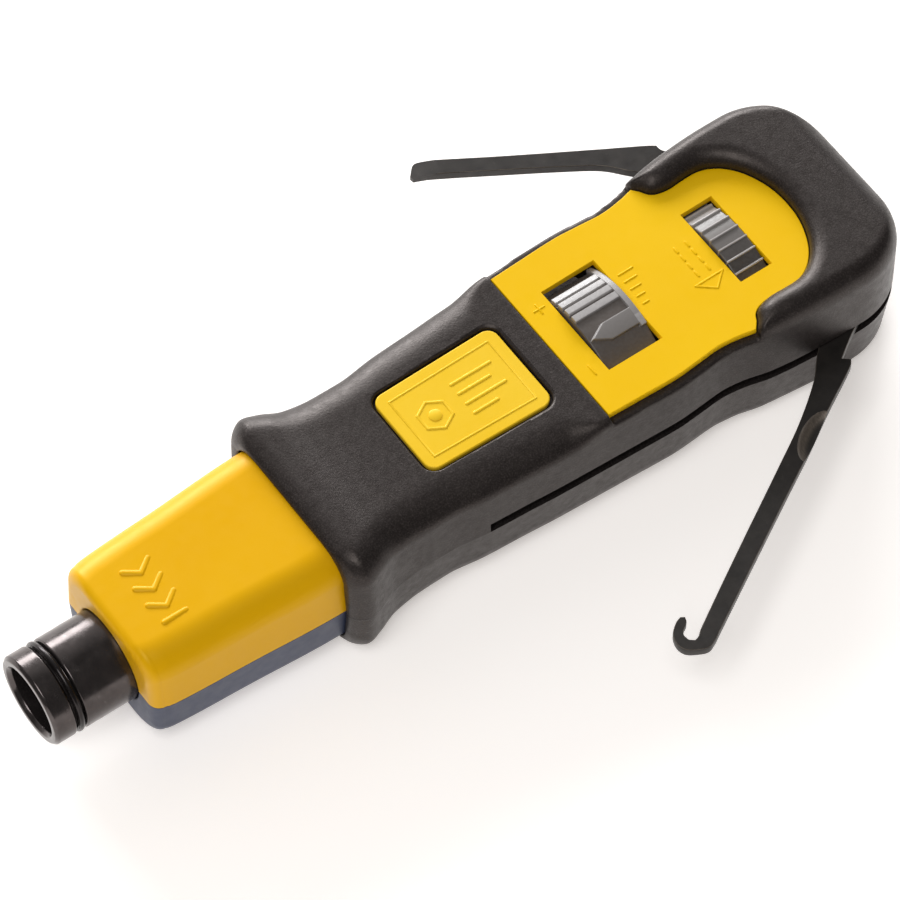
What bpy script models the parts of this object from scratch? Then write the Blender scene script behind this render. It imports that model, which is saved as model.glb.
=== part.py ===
"""Impact punch down tool: nozzle and head that slide into a two-shell handle,
spring hammer inside, impact dial and blade release wheel on top, a wire hook
and a spudger that fold into slots in the sides.

Lengths are millimetres, measured along X from the nozzle's rim and in Z from
the parting plane, which is also the mechanism's axis. place() turns them into
metres in the part's own frame: +X to the butt, +Z up, origin on the middle of
the lower shell's flat rest face.
"""
import math

import bmesh
import bpy
from mathutils import Matrix, Vector

# ---------------------------------------------------------------- dimensions
ORIGIN_X = 65.0          # rim to origin
AXIS_H = 10.0            # rest face to parting plane
GAP = 0.3                # between pieces that touch
TRAVEL = 7.0             # head stroke into the handle

NOZZLE_R = 6.4
BORE_R = 4.8
BORE_DEPTH = 24.0
HEAD_X0, HEAD_X1 = 12.0, 51.6
HEAD_TOP, HEAD_TOP_REAR, HEAD_BOT = 8.95, 9.6, -8.7
NECK_X = 39.9

HANDLE_X0 = 39.6
HANDLE_X1 = 129.7
BUTT_R = 10.5            # plan radius of the butt's corners
BUTT_XC = HANDLE_X1 - BUTT_R
WALL = 1.8

SLOT_X0 = 61.5           # front end of the side slots
SLOT_TOP = 1.8
SLOT_IN = 7.37           # inner wall of the slots, forward of the pivots
SLOT_IN_BUTT = 6.1

PLATE_X0 = 80.2
PLATE_Z0, PLATE_RISE = 10.2, 0.017
PLATE_T = 0.9
DIAL_WIN = (84.3, 92.6, 7.35)
REL_WIN = (106.1, 111.0, 6.45)
BADGE = (56.9, 76.0, 6.7, 7.0)

DIAL_R, DIAL_BASE_R = 11.7, 11.15
DIAL_SECTOR = (-40.0, 71.0)      # degrees from the top, + towards -Y
DIAL_POINTER = 14.6
REL_R, REL_BASE_R = 11.6, 11.3
REL_SECTOR = (-58.0, 34.0)

SLEEVE = (60.0, 83.2, 7.0, 6.2)  # x0, x1, outer r, inner r
HAMMER = (61.9, 69.9, 6.0)
TUBE_R, TUBE_BORE = 3.6, 2.75
ROD_R = 1.5

HOOK_PIVOT = (123.9, -10.0)
SPUD_PIVOT = (125.6, 9.6)
ARM_Z = (0.2, 1.6)
PIN_R = 1.5

SCREWS = [(99.4, 4.9), (99.4, -4.9), (124.4, 3.0), (124.4, -3.0)]
HEAD_SCREWS = [(36.0, 7.3), (36.0, -7.3)]

SIDE = [(39.6, 13.2), (40.4, 14.2), (42.0, 14.9), (44.0, 14.3), (47.3, 13.05),
        (51.5, 12.65), (55.7, 12.65), (61.5, 13.3), (67.6, 13.65), (72.0, 13.95),
        (78.0, 14.2), (84.5, 14.45), (90.5, 14.65), (94.4, 14.4), (97.8, 14.15),
        (100.8, 14.45), (104.9, 15.4), (110.0, 15.95), (116.0, 16.25),
        (BUTT_XC, 16.25)]
TOP = [(39.6, 10.2), (40.4, 10.9), (42.0, 11.4), (44.0, 11.3), (47.3, 10.7),
       (51.5, 10.25), (55.7, 10.1), (61.5, 10.1), (72.0, 10.15), (80.0, 10.3),
       (100.0, 10.9), (102.6, 11.6), (105.0, 12.4), (110.0, 12.9),
       (118.0, 13.05), (125.0, 12.9), (127.6, 12.7)]
TOP_RY = [(39.6, 4.0), (47.0, 5.0), (60.0, 5.2), (74.0, 4.6), (79.0, 1.2),
          (101.0, 1.2), (105.0, 2.5), (118.0, 2.6), (130.0, 2.6)]
TOP_RZ = [(39.6, 4.0), (47.0, 3.2), (60.0, 2.7), (74.0, 2.6), (79.0, 1.0),
          (101.0, 1.0), (105.0, 3.0), (118.0, 3.25), (130.0, 3.25)]
BOT = [(39.6, -8.7), (40.4, -9.4), (42.0, -9.9), (46.0, -9.85), (51.5, -9.8),
       (58.0, -9.95), (62.0, -10.0), (127.6, -10.0)]
BOT_R = [(39.6, 4.6), (47.0, 4.6), (55.0, 4.8), (62.0, 4.9), (80.0, 4.7),
         (95.0, 4.3), (118.0, 2.8), (130.0, 2.8)]


def lookup(table, x):
    """Smooth curve through the table's points."""
    if x <= table[0][0]:
        return table[0][1]
    if x >= table[-1][0]:
        return table[-1][1]
    for i in range(len(table) - 1):
        x0, y0 = table[i]
        x1, y1 = table[i + 1]
        if x0 <= x <= x1:
            d = (y1 - y0) / (x1 - x0)
            before = (y0 - table[i - 1][1]) / (x0 - table[i - 1][0]) if i else d
            after = ((table[i + 2][1] - y1) / (table[i + 2][0] - x1)
                     if i + 2 < len(table) else d)
            m0 = 0.0 if before * d <= 0 else 2 * before * d / (before + d)
            m1 = 0.0 if after * d <= 0 else 2 * after * d / (after + d)
            t = (x - x0) / (x1 - x0)
            h = x1 - x0
            return ((2 * t**3 - 3 * t**2 + 1) * y0 + (t**3 - 2 * t**2 + t) * h * m0
                    + (-2 * t**3 + 3 * t**2) * y1 + (t**3 - t**2) * h * m1)
    return table[-1][1]


def side_width(x):
    if x <= BUTT_XC:
        return lookup(SIDE, x)
    s = min((x - BUTT_XC) / BUTT_R, 1.0)
    return lookup(SIDE, BUTT_XC) - BUTT_R * (1 - math.sqrt(1 - s * s))


def end_drop(x, r):
    """How far the butt's top or bottom edge rounds off at x."""
    s = (x - (HANDLE_X1 - r)) / r
    return r * (1 - math.sqrt(max(1 - s * s, 0.0))) if s > 0 else 0.0


def ramp(x, x0, x1):
    return min(1.0, max(0.0, (x - x0) / (x1 - x0)))


def head_top(x):
    return HEAD_TOP + (HEAD_TOP_REAR - HEAD_TOP) * ramp(x, HEAD_X0, HANDLE_X0)


def plate_top(x):
    return PLATE_Z0 + PLATE_RISE * (x - 80.0)


# ------------------------------------------------------------------ helpers
def place(x, y, z):
    return Vector(((x - ORIGIN_X) / 1000.0, y / 1000.0, (z + AXIS_H) / 1000.0))


def clear():
    for ob in list(bpy.data.objects):
        bpy.data.objects.remove(ob, do_unlink=True)


def material(name, colour, rough, metal):
    mat = bpy.data.materials.get(name)
    if mat is None:
        mat = bpy.data.materials.new(name)
        mat.use_nodes = True
        bsdf = mat.node_tree.nodes["Principled BSDF"]
        bsdf.inputs["Base Color"].default_value = (*colour, 1.0)
        bsdf.inputs["Roughness"].default_value = rough
        bsdf.inputs["Metallic"].default_value = metal
    return mat


def finish(ob, mat, smooth=True):
    ob.data.materials.clear()
    ob.data.materials.append(mat)
    if smooth:
        ob.data.shade_smooth()
        ob.data.set_sharp_from_angle(angle=math.radians(35))
    return ob


def build(name, verts, faces):
    """A closed mesh from points in millimetres, faces pointing out."""
    mesh = bpy.data.meshes.new(name)
    mesh.from_pydata([place(*v) for v in verts], [], faces)
    bm = bmesh.new()
    bm.from_mesh(mesh)
    bmesh.ops.remove_doubles(bm, verts=bm.verts, dist=1e-7)
    bmesh.ops.recalc_face_normals(bm, faces=bm.faces)
    bm.to_mesh(mesh)
    bm.free()
    ob = bpy.data.objects.new(name, mesh)
    bpy.context.scene.collection.objects.link(ob)
    return ob


def loft(name, rings):
    """Skin over rings with the same number of points, flat caps at both ends."""
    n = len(rings[0])
    verts = [v for ring in rings for v in ring]
    faces = [tuple(range(n)), tuple(reversed(range(len(verts) - n, len(verts))))]
    for i in range(len(rings) - 1):
        for j in range(n):
            a, b = i * n + j, i * n + (j + 1) % n
            faces.append((a, b, b + n, a + n))
    return build(name, verts, faces)


def prism(name, outline, axis, lo, hi):
    """An outline extruded along an axis: its two numbers fill the other two."""
    def at(p, h):
        if axis == "x":
            return (h, p[0], p[1])
        if axis == "y":
            return (p[0], h, p[1])
        return (p[0], p[1], h)
    return loft(name, [[at(p, lo) for p in outline], [at(p, hi) for p in outline]])


def box(name, x0, x1, y0, y1, z0, z1):
    return prism(name, [(x0, y0), (x1, y0), (x1, y1), (x0, y1)], "z", z0, z1)


def circle(cx, cy, r, n=24, start=0.0, end=360.0):
    full = abs(end - start) >= 359.9
    m = n if full else n + 1
    return [(cx + r * math.cos(math.radians(start + (end - start) * i / n)),
             cy + r * math.sin(math.radians(start + (end - start) * i / n)))
            for i in range(m)]


def cyl(name, axis, c, r, lo, hi, n=24):
    return prism(name, circle(c[0], c[1], r, n), axis, lo, hi)


def turned(name, profile, n=32, axis="x", centre=(0.0, 0.0)):
    """A ring or shaft turned about an axis from a closed (along, radius) profile."""
    verts, faces = [], []
    m = len(profile)
    for k in range(n):
        a = 2 * math.pi * k / n
        for s, r in profile:
            u, v = centre[0] + r * math.cos(a), centre[1] + r * math.sin(a)
            verts.append((s, u, v) if axis == "x" else (u, v, s))
    for k in range(n):
        for j in range(m):
            a, b = k * m + j, k * m + (j + 1) % m
            c, d = ((k + 1) % n) * m + (j + 1) % m, ((k + 1) % n) * m + j
            if profile[j][1] < 1e-9 and profile[(j + 1) % m][1] < 1e-9:
                continue
            if profile[j][1] < 1e-9:
                faces.append((a, b, c))
            elif profile[(j + 1) % m][1] < 1e-9:
                faces.append((a, b, d))
            else:
                faces.append((a, b, c, d))
    return build(name, verts, faces)


def cut(target, tools, op="DIFFERENCE", solver="EXACT"):
    """Apply a Boolean for each tool in turn and drop the tools. The shells use
    the manifold solver: with this many crossing cuts the exact one loses faces."""
    for tool in tools:
        mod = target.modifiers.new("bool", "BOOLEAN")
        mod.operation = op
        mod.solver = solver
        mod.object = tool
        bpy.context.view_layer.update()
        graph = bpy.context.evaluated_depsgraph_get()
        mesh = bpy.data.meshes.new_from_object(target.evaluated_get(graph))
        target.modifiers.clear()
        old = target.data
        target.data = mesh
        bpy.data.meshes.remove(old)
        bpy.data.objects.remove(tool, do_unlink=True)
    return target


def pivot_to(ob, x, y, z):
    """Move the object's origin onto its joint axis, keeping its mesh in place."""
    p = place(x, y, z)
    ob.data.transform(Matrix.Translation(-p))
    ob.location = p
    return ob


def spring(name, x0, x1, r, wire, turns, steps=12, sides=6, axis="x", c=(0.0, 0.0)):
    """Coil of round wire with its two end turns closed."""
    rings = []
    total = int(turns * steps)
    for i in range(total + 1):
        t = i / total
        a = 2 * math.pi * turns * t
        dead = 0.75 / turns
        if t < dead:
            s = wire * t / dead * 0.75
        elif t > 1 - dead:
            s = (x1 - x0 - wire) - wire * (1 - t) / dead * 0.75
        else:
            f = (t - dead) / (1 - 2 * dead)
            s = wire * 0.75 + f * (x1 - x0 - wire - 1.5 * wire)
        s += x0 + wire / 2
        ring = []
        for k in range(sides):
            b = 2 * math.pi * k / sides
            rr = r + wire / 2 * math.cos(b)
            h = s + wire / 2 * math.sin(b)
            u, v = c[0] + rr * math.cos(a), c[1] + rr * math.sin(a)
            ring.append((h, u, v) if axis == "x" else (u, v, h))
        rings.append(ring)
    return loft(name, rings)


def over(w_side, w_top, z0, z1, ry, rz, n=4):
    """Upper half section from +Y round to -Y."""
    pts = [(w_side, z0)]
    for i in range(n + 1):
        a = math.pi / 2 * i / n
        pts.append((w_top - ry + ry * math.cos(a), z1 - rz + rz * math.sin(a)))
    return pts + [(-y, z) for y, z in reversed(pts)]


# ----------------------------------------------------------------- materials
clear()
YELLOW = material("yellow_plastic", (0.90, 0.55, 0.01), 0.38, 0.0)
SLATE = material("slate_plastic", (0.10, 0.11, 0.17), 0.45, 0.0)
RUBBER = material("black_rubber", (0.045, 0.040, 0.042), 0.6, 0.0)
GREY = material("grey_plastic", (0.33, 0.32, 0.33), 0.4, 0.0)
GUN = material("black_steel", (0.02, 0.02, 0.022), 0.22, 0.9)
ARM = material("black_oxide_steel", (0.03, 0.028, 0.027), 0.42, 0.8)
STEEL = material("bright_steel", (0.55, 0.55, 0.56), 0.3, 1.0)
BRASS = material("brass", (0.70, 0.52, 0.22), 0.35, 1.0)

# -------------------------------------------------------------------- handle
STATIONS = [39.6, 40.1, 40.8, 42.0, 43.6, 45.4, 47.3, 49.5, 52.0, 55.7, 59.5,
            64.0, 70.0, 76.0, 79.5, 84.5, 90.5, 94.0, 97.8, 101.4,
            104.9, 108.0, 117.0]
STATIONS += [BUTT_XC + BUTT_R * math.sin(math.radians(a))
             for a in (0, 22, 40, 55, 68, 79, 90)]


def upper_ring(x, inset=0.0, base=0.15):
    w = side_width(x) - inset
    top = lookup(TOP, x) - end_drop(x, 4.6) - inset
    if inset:
        top = min(top, plate_top(x) - PLATE_T - GAP - 1.3)
    taper = 0.2
    ry = max(min(lookup(TOP_RY, x), w - taper - 1.5) - inset * 0.4, 0.8)
    rz = max(lookup(TOP_RZ, x) - inset * 0.4, 0.8)
    return [(x, y, z) for y, z in over(w, w - taper, base, top, ry, rz)]


def lower_ring(x, inset=0.0, base=-0.15):
    w = side_width(x) - inset
    bot = lookup(BOT, x) + end_drop(x, 2.6) + inset
    r = lookup(BOT_R, x) - inset * 0.4
    taper = 0.3 + 0.25 * ramp(x, 47.0, 57.0) + 0.45 * ramp(x, 99.0, 108.0)
    return [(x, y, -z) for y, z in over(w, w - taper, -base, -bot, r, r)]


def channel(name, grow, x0, x1, top, bot, w, taper=0.0):
    """Rounded through-channel for the head's body or neck."""
    up = over(w + grow, w + grow - taper, 0.0, top + grow, 4.6, 3.8, 4)
    down = over(w + grow, w + grow - taper, 0.0, grow - bot, 4.2, 3.4, 4)
    return prism(name, up + [(y, -z) for y, z in reversed(down)][1:-1], "x", x0, x1)


def slot_cutter(name, side, z0, z1):
    pts = [(SLOT_X0, side * 30), (SLOT_X0, side * SLOT_IN),
           (112.0, side * SLOT_IN), (117.5, side * SLOT_IN_BUTT),
           (140.0, side * SLOT_IN_BUTT), (140.0, side * 30)]
    return prism(name, pts, "z", z0, z1)


def ribs_and_bosses(top):
    """What the shells keep inside: cross ribs and screw and pivot bosses."""
    z0, z1 = (0.15, 14.0) if top else (-14.0, -0.15)
    out = []
    for x in (63.5, 79.5, 95.0, 113.6):
        out.append(box("rib", x - 0.8, x + 0.8, -20, 20, z0, z1))
    for x, y in SCREWS:
        out.append(cyl("boss", "z", (x, y), 3.3, z0, z1, 14))
    for x, y in (HOOK_PIVOT, SPUD_PIVOT):
        out.append(cyl("boss", "z", (x, y), 3.0, z0, z1, 14))
    for s in (1, -1):
        out.append(box("wall", 93.1, 105.7, s * 6.5, s * 7.3, z0, z1))
    return out


def shell(name, top):
    ring = upper_ring if top else lower_ring
    body = loft(name, [ring(x) for x in STATIONS])
    inner = [x for x in STATIONS if 60.5 < x < HANDLE_X1 - 2.4][::2]
    hollow = loft("hollow", [[(x, y, z) for x, y, z in ring(x, WALL, -0.6 if top else 0.6)]
                             for x in [59.17] + inner + [HANDLE_X1 - 2.2]])
    cut(hollow, ribs_and_bosses(top), solver="MANIFOLD")
    tools = [hollow,
             channel("mouth", 0.35, 30.0, 47.1, HEAD_TOP_REAR, HEAD_BOT, 12.1, 0.45),
             channel("throat", 0.35, 46.9, 50.6, 7.3, -7.2, 9.4),
             channel("run", 0.35, 49.4, 59.31, 8.1, -8.0, 10.2),
             cyl("bed", "x", (0, 0), SLEEVE[2] + GAP, 58.0, 83.9, 24),
             cyl("bush", "x", (0, 0), 4.3, 83.0, 97.5, 16),
             cyl("rear", "x", (0, 0), 3.8, 97.0, 116.2, 16)]
    for x, y in SCREWS:
        tools.append(cyl("hole", "z", (x, y), 1.4, -20.0, 6.2 if top else 0.5, 12))
        if not top:
            tools.append(cyl("seat", "z", (x, y), 2.45, -20.0, -7.33, 18))
    for x, y in (HOOK_PIVOT, SPUD_PIVOT):
        tools.append(cyl("hole", "z", (x, y), PIN_R + GAP, -4.3, 5.3, 14))
    if top:
        tools += [slot_cutter("slot", 1, -2.0, SLOT_TOP), slot_cutter("slot", -1, -2.0, SLOT_TOP)]
    return body, tools


def plate_outline(grow=0.0):
    """Top plate: square front, sides on the body, dome between two horns."""
    horn = [(103.4, 15.2), (104.0, 12.6), (104.6, 11.6), (105.6, 10.95), (107.3, 10.65),
            (109.5, 10.75), (111.5, 10.75), (113.2, 10.3), (115.0, 9.1),
            (116.6, 7.1), (117.8, 4.3), (118.35, 1.6)]
    half = []
    if grow:
        half = [(PLATE_X0 - grow, 20.0), (103.4 + grow, 20.0)]
        pts = horn[1:]
        for i, (x, y) in enumerate(pts):
            xa, ya = pts[max(i - 1, 0)]
            xb, yb = pts[min(i + 1, len(pts) - 1)]
            tx, ty = xb - xa, yb - ya
            n = math.hypot(tx, ty)
            half.append((x - ty / n * grow, y + tx / n * grow))
    else:
        for x in (PLATE_X0, 84.5, 88.0, 90.5, 92.5, 94.4, 96.2, 97.8, 99.5, 101.5):
            half.append((x, side_width(x) - 1.45))
        half.append((103.2, side_width(103.2) - 1.5))
        half += horn[1:]
    return half + [(x, -y) for x, y in reversed(half)]


body, tools = shell("handle_upper_shell", True)
cut(body, tools, solver="MANIFOLD")
# Step for the top plate, windows for the wheels, recess for the badge.
pocket = plate_outline(GAP)
lo = [(x, y, plate_top(x) - PLATE_T - GAP) for x, y in pocket]
hi = [(x, y, 20.0) for x, y in pocket]
cut(body, [loft("pocket", [lo, hi]),
           box("win", DIAL_WIN[0] - 0.1, DIAL_WIN[1] + 0.1, -9.9, 9.9, 2.0, 20.0),
           box("win", REL_WIN[0] - 0.1, REL_WIN[1] + 0.1, -9.6, 9.6, 2.0, 20.0),
           box("recess", BADGE[0] - 0.35, BADGE[1] + 0.35, -7.45, 7.45, 9.05, 20.0)], solver="MANIFOLD")
finish(body, RUBBER)
upper = body

body, tools = shell("handle_lower_shell", False)
cut(body, tools, solver="MANIFOLD")
finish(body, RUBBER)

plate = plate_outline()
ob = loft("top_plate", [[(x, y, plate_top(x) - PLATE_T) for x, y in plate],
                        [(x, y, plate_top(x)) for x, y in plate]])
cut(ob, [box("win", DIAL_WIN[0], DIAL_WIN[1], -DIAL_WIN[2], DIAL_WIN[2], 0, 20),
         box("win", REL_WIN[0], REL_WIN[1], -REL_WIN[2], REL_WIN[2], 0, 20)])
finish(ob, YELLOW)


def rounded(x0, x1, w0, w1, r, n=4):
    pts = []
    for cx, w, a0 in ((x1, w1, 0), (x0, w0, 90), (x0, -w0, 180), (x1, -w1, 270)):
        sx = -1 if cx == x1 else 1
        sy = -1 if w > 0 else 1
        for i in range(n + 1):
            a = math.radians(a0 + 90 * i / n)
            pts.append((cx + sx * r + r * math.cos(a), w + sy * r + r * math.sin(a)))
    return pts


finish(prism("badge_plate", rounded(*BADGE, 1.6), "z", 9.35, 10.05), YELLOW)

# ---------------------------------------------------------------------- head
HEAD_SIDE = [(12.0, 8.6), (12.4, 9.7), (13.2, 10.3), (14.5, 10.75), (26.0, 11.4),
             (39.6, 12.1), (40.4, 12.1)]


def head_stations():
    return [12.0, 12.35, 13.0, 14.5, 20.0, 26.0, 33.0, NECK_X]


def head_ring(x, top, inset=0.0, base=0.15):
    w = lookup(HEAD_SIDE, x) - inset
    drop = 0.9 * max(0.0, 1 - (x - 12.0) / 1.0) ** 2
    h = (head_top(x) if top else -HEAD_BOT) - drop - inset
    ry, rz = (4.6, 3.8) if top else (4.2, 3.4)
    pts = over(w, w - 0.45, base, h, min(ry, w - 2) - inset * 0.4, rz - inset * 0.4)
    return [(x, y, z if top else -z) for y, z in pts]


def neck_ring(x, w, h, top):
    pts = over(w, w, 0.15, h, 3.0, 3.0)
    return [(x, y, z if top else -z) for y, z in pts]


def head_shell(name, top):
    body = loft(name, [head_ring(x, top) for x in head_stations()])
    neck = loft("neck", [neck_ring(x, w, h, top) for x, w, h in
                         ((39.0, 9.4, 7.25), (49.5, 9.4, 7.25), (49.6, 10.2, 8.0), (HEAD_X1, 10.2, 8.0))])
    cut(body, [neck], "UNION")
    z0, z1 = (0.15, 12.0) if top else (-12.0, -0.15)
    hollow = loft("hollow", [head_ring(x, top, 1.7, -0.6) for x in (15.2, 20.0, 26.0, 33.0, 38.6)])
    bosses = [cyl("boss", "z", p, 2.1, z0, z1, 20) for p in HEAD_SCREWS]
    bosses.append(box("rib", 28.6, 30.2, -20, 20, z0, z1))
    cut(hollow, bosses)
    tools = [hollow,
             cyl("front", "x", (0, 0), NOZZLE_R + GAP, 10.0, 31.6, 32),
             cyl("shoulder", "x", (0, 0), 7.7, 15.9, 18.9, 32),
             cyl("pass", "x", (0, 0), TUBE_R + 0.35, 20.0, 60.0, 24),
             cyl("pocket", "x", (0, 0), 6.2, 44.0, 60.0, 28)]
    for p in HEAD_SCREWS:
        tools.append(cyl("hole", "z", p, 1.25, -20.0, 5.6, 16))
        if not top:
            tools.append(cyl("seat", "z", p, 2.1, -20.0, -6.9, 20))
    cut(body, tools)
    return body


finish(head_shell("head_upper_shell", True), YELLOW)
finish(head_shell("head_lower_shell", False), SLATE)

finish(turned("nozzle_tube", [
    (0.0, 5.25), (0.0, 6.05), (0.35, NOZZLE_R), (2.3, NOZZLE_R), (2.3, 5.95), (3.0, 5.95),
    (3.0, 6.3), (3.5, 6.3), (3.5, 5.7), (4.5, 5.7), (4.5, NOZZLE_R), (16.2, NOZZLE_R),
    (16.2, 7.4), (18.6, 7.4), (18.6, NOZZLE_R), (25.6, NOZZLE_R), (25.6, 3.3),
    (24.0, 3.3), (24.0, BORE_R), (0.5, BORE_R)], 32), GUN)

finish(turned("nozzle_ring", [(4.0 + 0.32 * math.cos(a), 6.33 + 0.32 * math.sin(a))
                              for a in (2 * math.pi * k / 6 for k in range(6))], 28), GUN)

# Twist lock in the bore: a cross slot in its face and a tail that the rod turns.
lock = turned("blade_lock", [(17.0, 1.65), (17.0, 4.5), (22.0, 4.5), (22.0, 2.4),
                             (36.0, 2.4), (36.0, 1.65)], 28)
cut(lock, [box("slot", 16.5, 19.5, -3.6, 3.6, -1.3, 1.3)])
finish(pivot_to(lock, 17.0, 0, 0), STEEL)

finish(turned("drive_tube", [(25.9, TUBE_BORE), (25.9, 5.2), (27.9, 5.2), (27.9, TUBE_R),
                             (64.0, TUBE_R), (64.0, TUBE_BORE)], 28), STEEL)

for i, (x, y) in enumerate(HEAD_SCREWS):
    s = turned("head_screw_%d" % (i + 1),
               [(-8.35, 0.0), (-8.35, 1.3), (-7.9, 1.7), (-7.2, 1.75), (-7.2, 0.95),
                (5.0, 0.95), (5.2, 0.0)], 16, "z", (x, y))
    finish(s, STEEL)

# ------------------------------------------------------------ impact mechanism
finish(turned("guide_sleeve", [(SLEEVE[0], TUBE_R + 0.4), (SLEEVE[0], SLEEVE[2]), (SLEEVE[1], SLEEVE[2]),
                               (SLEEVE[1], SLEEVE[3]), (61.2, SLEEVE[3]), (61.2, TUBE_R + 0.4)], 28), STEEL)

hammer = turned("hammer", [(HAMMER[0], TUBE_R + 0.15), (HAMMER[0], 5.7), (HAMMER[0] + 0.3, HAMMER[2]),
                           (HAMMER[1], HAMMER[2]), (HAMMER[1], 2.2), (67.7, 2.2),
                           (67.7, TUBE_R + 0.15)], 28)
cut(hammer, [box("slot", 64.05, 67.55, -2.9, 2.9, -5.1, 9.0),
             box("groove", 60.0, 72.0, -1.8, 1.8, 4.9, 9.0)])
finish(hammer, STEEL)

nose = [(-2.6, -2.7), (2.6, -2.7), (2.6, 4.5), (1.4, 5.0), (1.4, 5.9), (-1.4, 5.9), (-1.4, 5.0), (-2.6, 4.5)]
block = prism("trip_block", nose, "x", 64.3, 67.3)
hole = [(1.85 * math.cos(a), 1.85 * math.sin(a) + (0.9 if math.sin(a) > 0 else 0.0))
        for a in (2 * math.pi * (k + 0.5) / 20 for k in range(20))]
cut(block, [prism("hole", hole, "x", 60.0, 70.0)])
finish(block, STEEL)

finish(spring("trip_spring", -4.95, -2.9, 1.3, 0.35, 2.5, 9, 5, "z", (65.8, 0.0)), STEEL)

finish(prism("trip_cam", [(69.0, 5.74), (76.5, 5.26), (76.5, 5.88), (69.0, 5.88)], "y", -1.4, 1.4), STEEL)

finish(spring("main_spring", 70.1, 80.4, 4.9, 0.85, 4.5, 12, 5), STEEL)
finish(spring("return_spring", 44.3, 59.7, 4.9, 0.6, 5.0, 12, 5), STEEL)

finish(turned("spring_seat", [(81.4, 2.6), (81.4, 5.9), (83.0, 5.9), (83.0, 2.6)], 28), BRASS)


# ----------------------------------------------------------------- the wheels
def sector_outline(base_r, hub_r, sector, bumps):
    """Outline of a partial wheel: hub, and a rim over a sector, with raised
    bars on it. Angles run from the top towards -Y."""
    a0, a1 = sector
    steps = int((a1 - a0) / 4)
    rim = {a0 + (a1 - a0) * i / steps: base_r for i in range(steps + 1)}
    for centre, half, r in bumps:
        for a in [a for a in rim if centre - half - 0.4 <= a <= centre + half + 0.4]:
            del rim[a]
        rim[centre - half - 0.35] = base_r
        rim[centre - half] = r
        if half > 3:
            rim[centre] = r
        rim[centre + half] = r
        rim[centre + half + 0.35] = base_r
    outline = [(a, rim[a]) for a in sorted(rim)]
    outline += [(a1 + (360 - (a1 - a0)) * i / 16, hub_r) for i in range(17)]
    return outline


def wheel_ring(x, outline, least=0.0):
    return [(x, -max(r, least) * math.sin(math.radians(a)), max(r, least) * math.cos(math.radians(a)))
            for a, r in outline]


DX0, DX1 = DIAL_WIN[0] + 0.25, DIAL_WIN[1] - 0.25
bars = [(a, 2.0, DIAL_R) for a in (-26.5, -19.0, -11.5, -4.0)] + [(DIAL_POINTER, 6.8, DIAL_R)]
shape = sector_outline(DIAL_BASE_R, 7.0, DIAL_SECTOR, bars)
full = [(a, r if r < 8.0 else DIAL_R) for a, r in shape]
dial = loft("impact_dial", [wheel_ring(DX0, shape), wheel_ring(DX1 - 0.8, shape),
                            wheel_ring(DX1 - 0.79, full), wheel_ring(DX1, full)])
hub = cyl("hub", "x", (0, 0), 3.4, DX0 - 1.1, 97.0, 24)
cut(dial, [hub], "UNION")
cut(dial, [cyl("bore", "x", (0, 0), 1.8, 70.0, 110.0, 20)])
finish(pivot_to(dial, 88.0, 0, 0), GREY)

finish(turned("dial_bush", [(93.9, 3.5), (93.9, 4.0), (96.2, 4.0), (96.2, 3.5)], 28), BRASS)

shape = sector_outline(REL_BASE_R, 6.0, REL_SECTOR,
                       [(a, 0.9, REL_R) for a in (-50, -40.5, -31, -21.5, -12, -2.5, 7, 16.5, 26)])
wheel = loft("release_wheel", [wheel_ring(REL_WIN[0] + 0.25, shape), wheel_ring(REL_WIN[1] - 0.25, shape)])
cut(wheel, [cyl("bore", "x", (0, 0), 1.8, 100.0, 118.0, 20)])
finish(pivot_to(wheel, 108.5, 0, 0), GREY)

finish(pivot_to(turned("release_rod", [(33.0, 0.0), (33.0, 1.2), (33.4, ROD_R), (115.2, ROD_R), (115.2, 0.0)], 20),
                108.5, 0, 0), STEEL)
finish(turned("rod_bush", [(112.5, 1.8), (112.5, 3.4), (115.0, 3.4), (115.0, 1.8)], 24), BRASS)
finish(spring("release_spring", 100.9, 105.2, 2.4, 0.5, 3.5, 10, 5), STEEL)

# ---------------------------------------------------------------------- arms
HOOK = [(117.4, -16.5), (113.6, -19.0), (114.5, -19.8), (113.9, -20.5), (107.4, -24.2),
        (101.5, -27.8), (95.7, -31.1), (81.6, -39.2), (75.9, -42.5), (74.6, -43.25), (73.3, -43.7),
        (71.8, -43.1), (70.7, -42.3), (70.3, -41.3), (70.4, -40.3), (70.9, -39.3), (72.2, -38.3),
        (73.0, -38.05), (73.5, -38.4), (73.2, -39.1), (72.3, -39.7), (71.8, -40.4), (71.9, -41.3),
        (72.5, -41.8), (73.2, -41.6), (73.9, -41.0), (85.4, -34.1), (97.0, -27.3), (102.8, -23.8),
        (108.5, -19.6), (111.5, -16.5)]
SPUDGER = [(109.5, 20.6), (106.5, 23.9), (101.9, 27.0), (95.1, 31.2), (87.0, 36.1), (85.0, 37.0),
           (84.9, 37.6), (86.1, 38.8), (86.7, 38.9), (88.4, 38.0), (96.4, 33.1), (107.9, 26.3), (113.4, 23.1),
           (114.4, 22.4), (114.6, 21.3), (117.8, 17.6)]


def arm(name, edge, pivot, start, end):
    """A flat blade whose root wraps round its pivot pin."""
    root = circle(pivot[0], pivot[1], 3.0, 12, start, end)
    ob = prism(name, edge + root, "z", *ARM_Z)
    cut(ob, [cyl("eye", "z", pivot, PIN_R + 0.12, -2, 4, 24)])
    return finish(pivot_to(ob, pivot[0], pivot[1], 0.9), ARM)


arm("hook_arm", HOOK, HOOK_PIVOT, 130.0, -45.0)
arm("spudger_arm", SPUDGER, SPUD_PIVOT, 45.0, -130.0)

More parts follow.
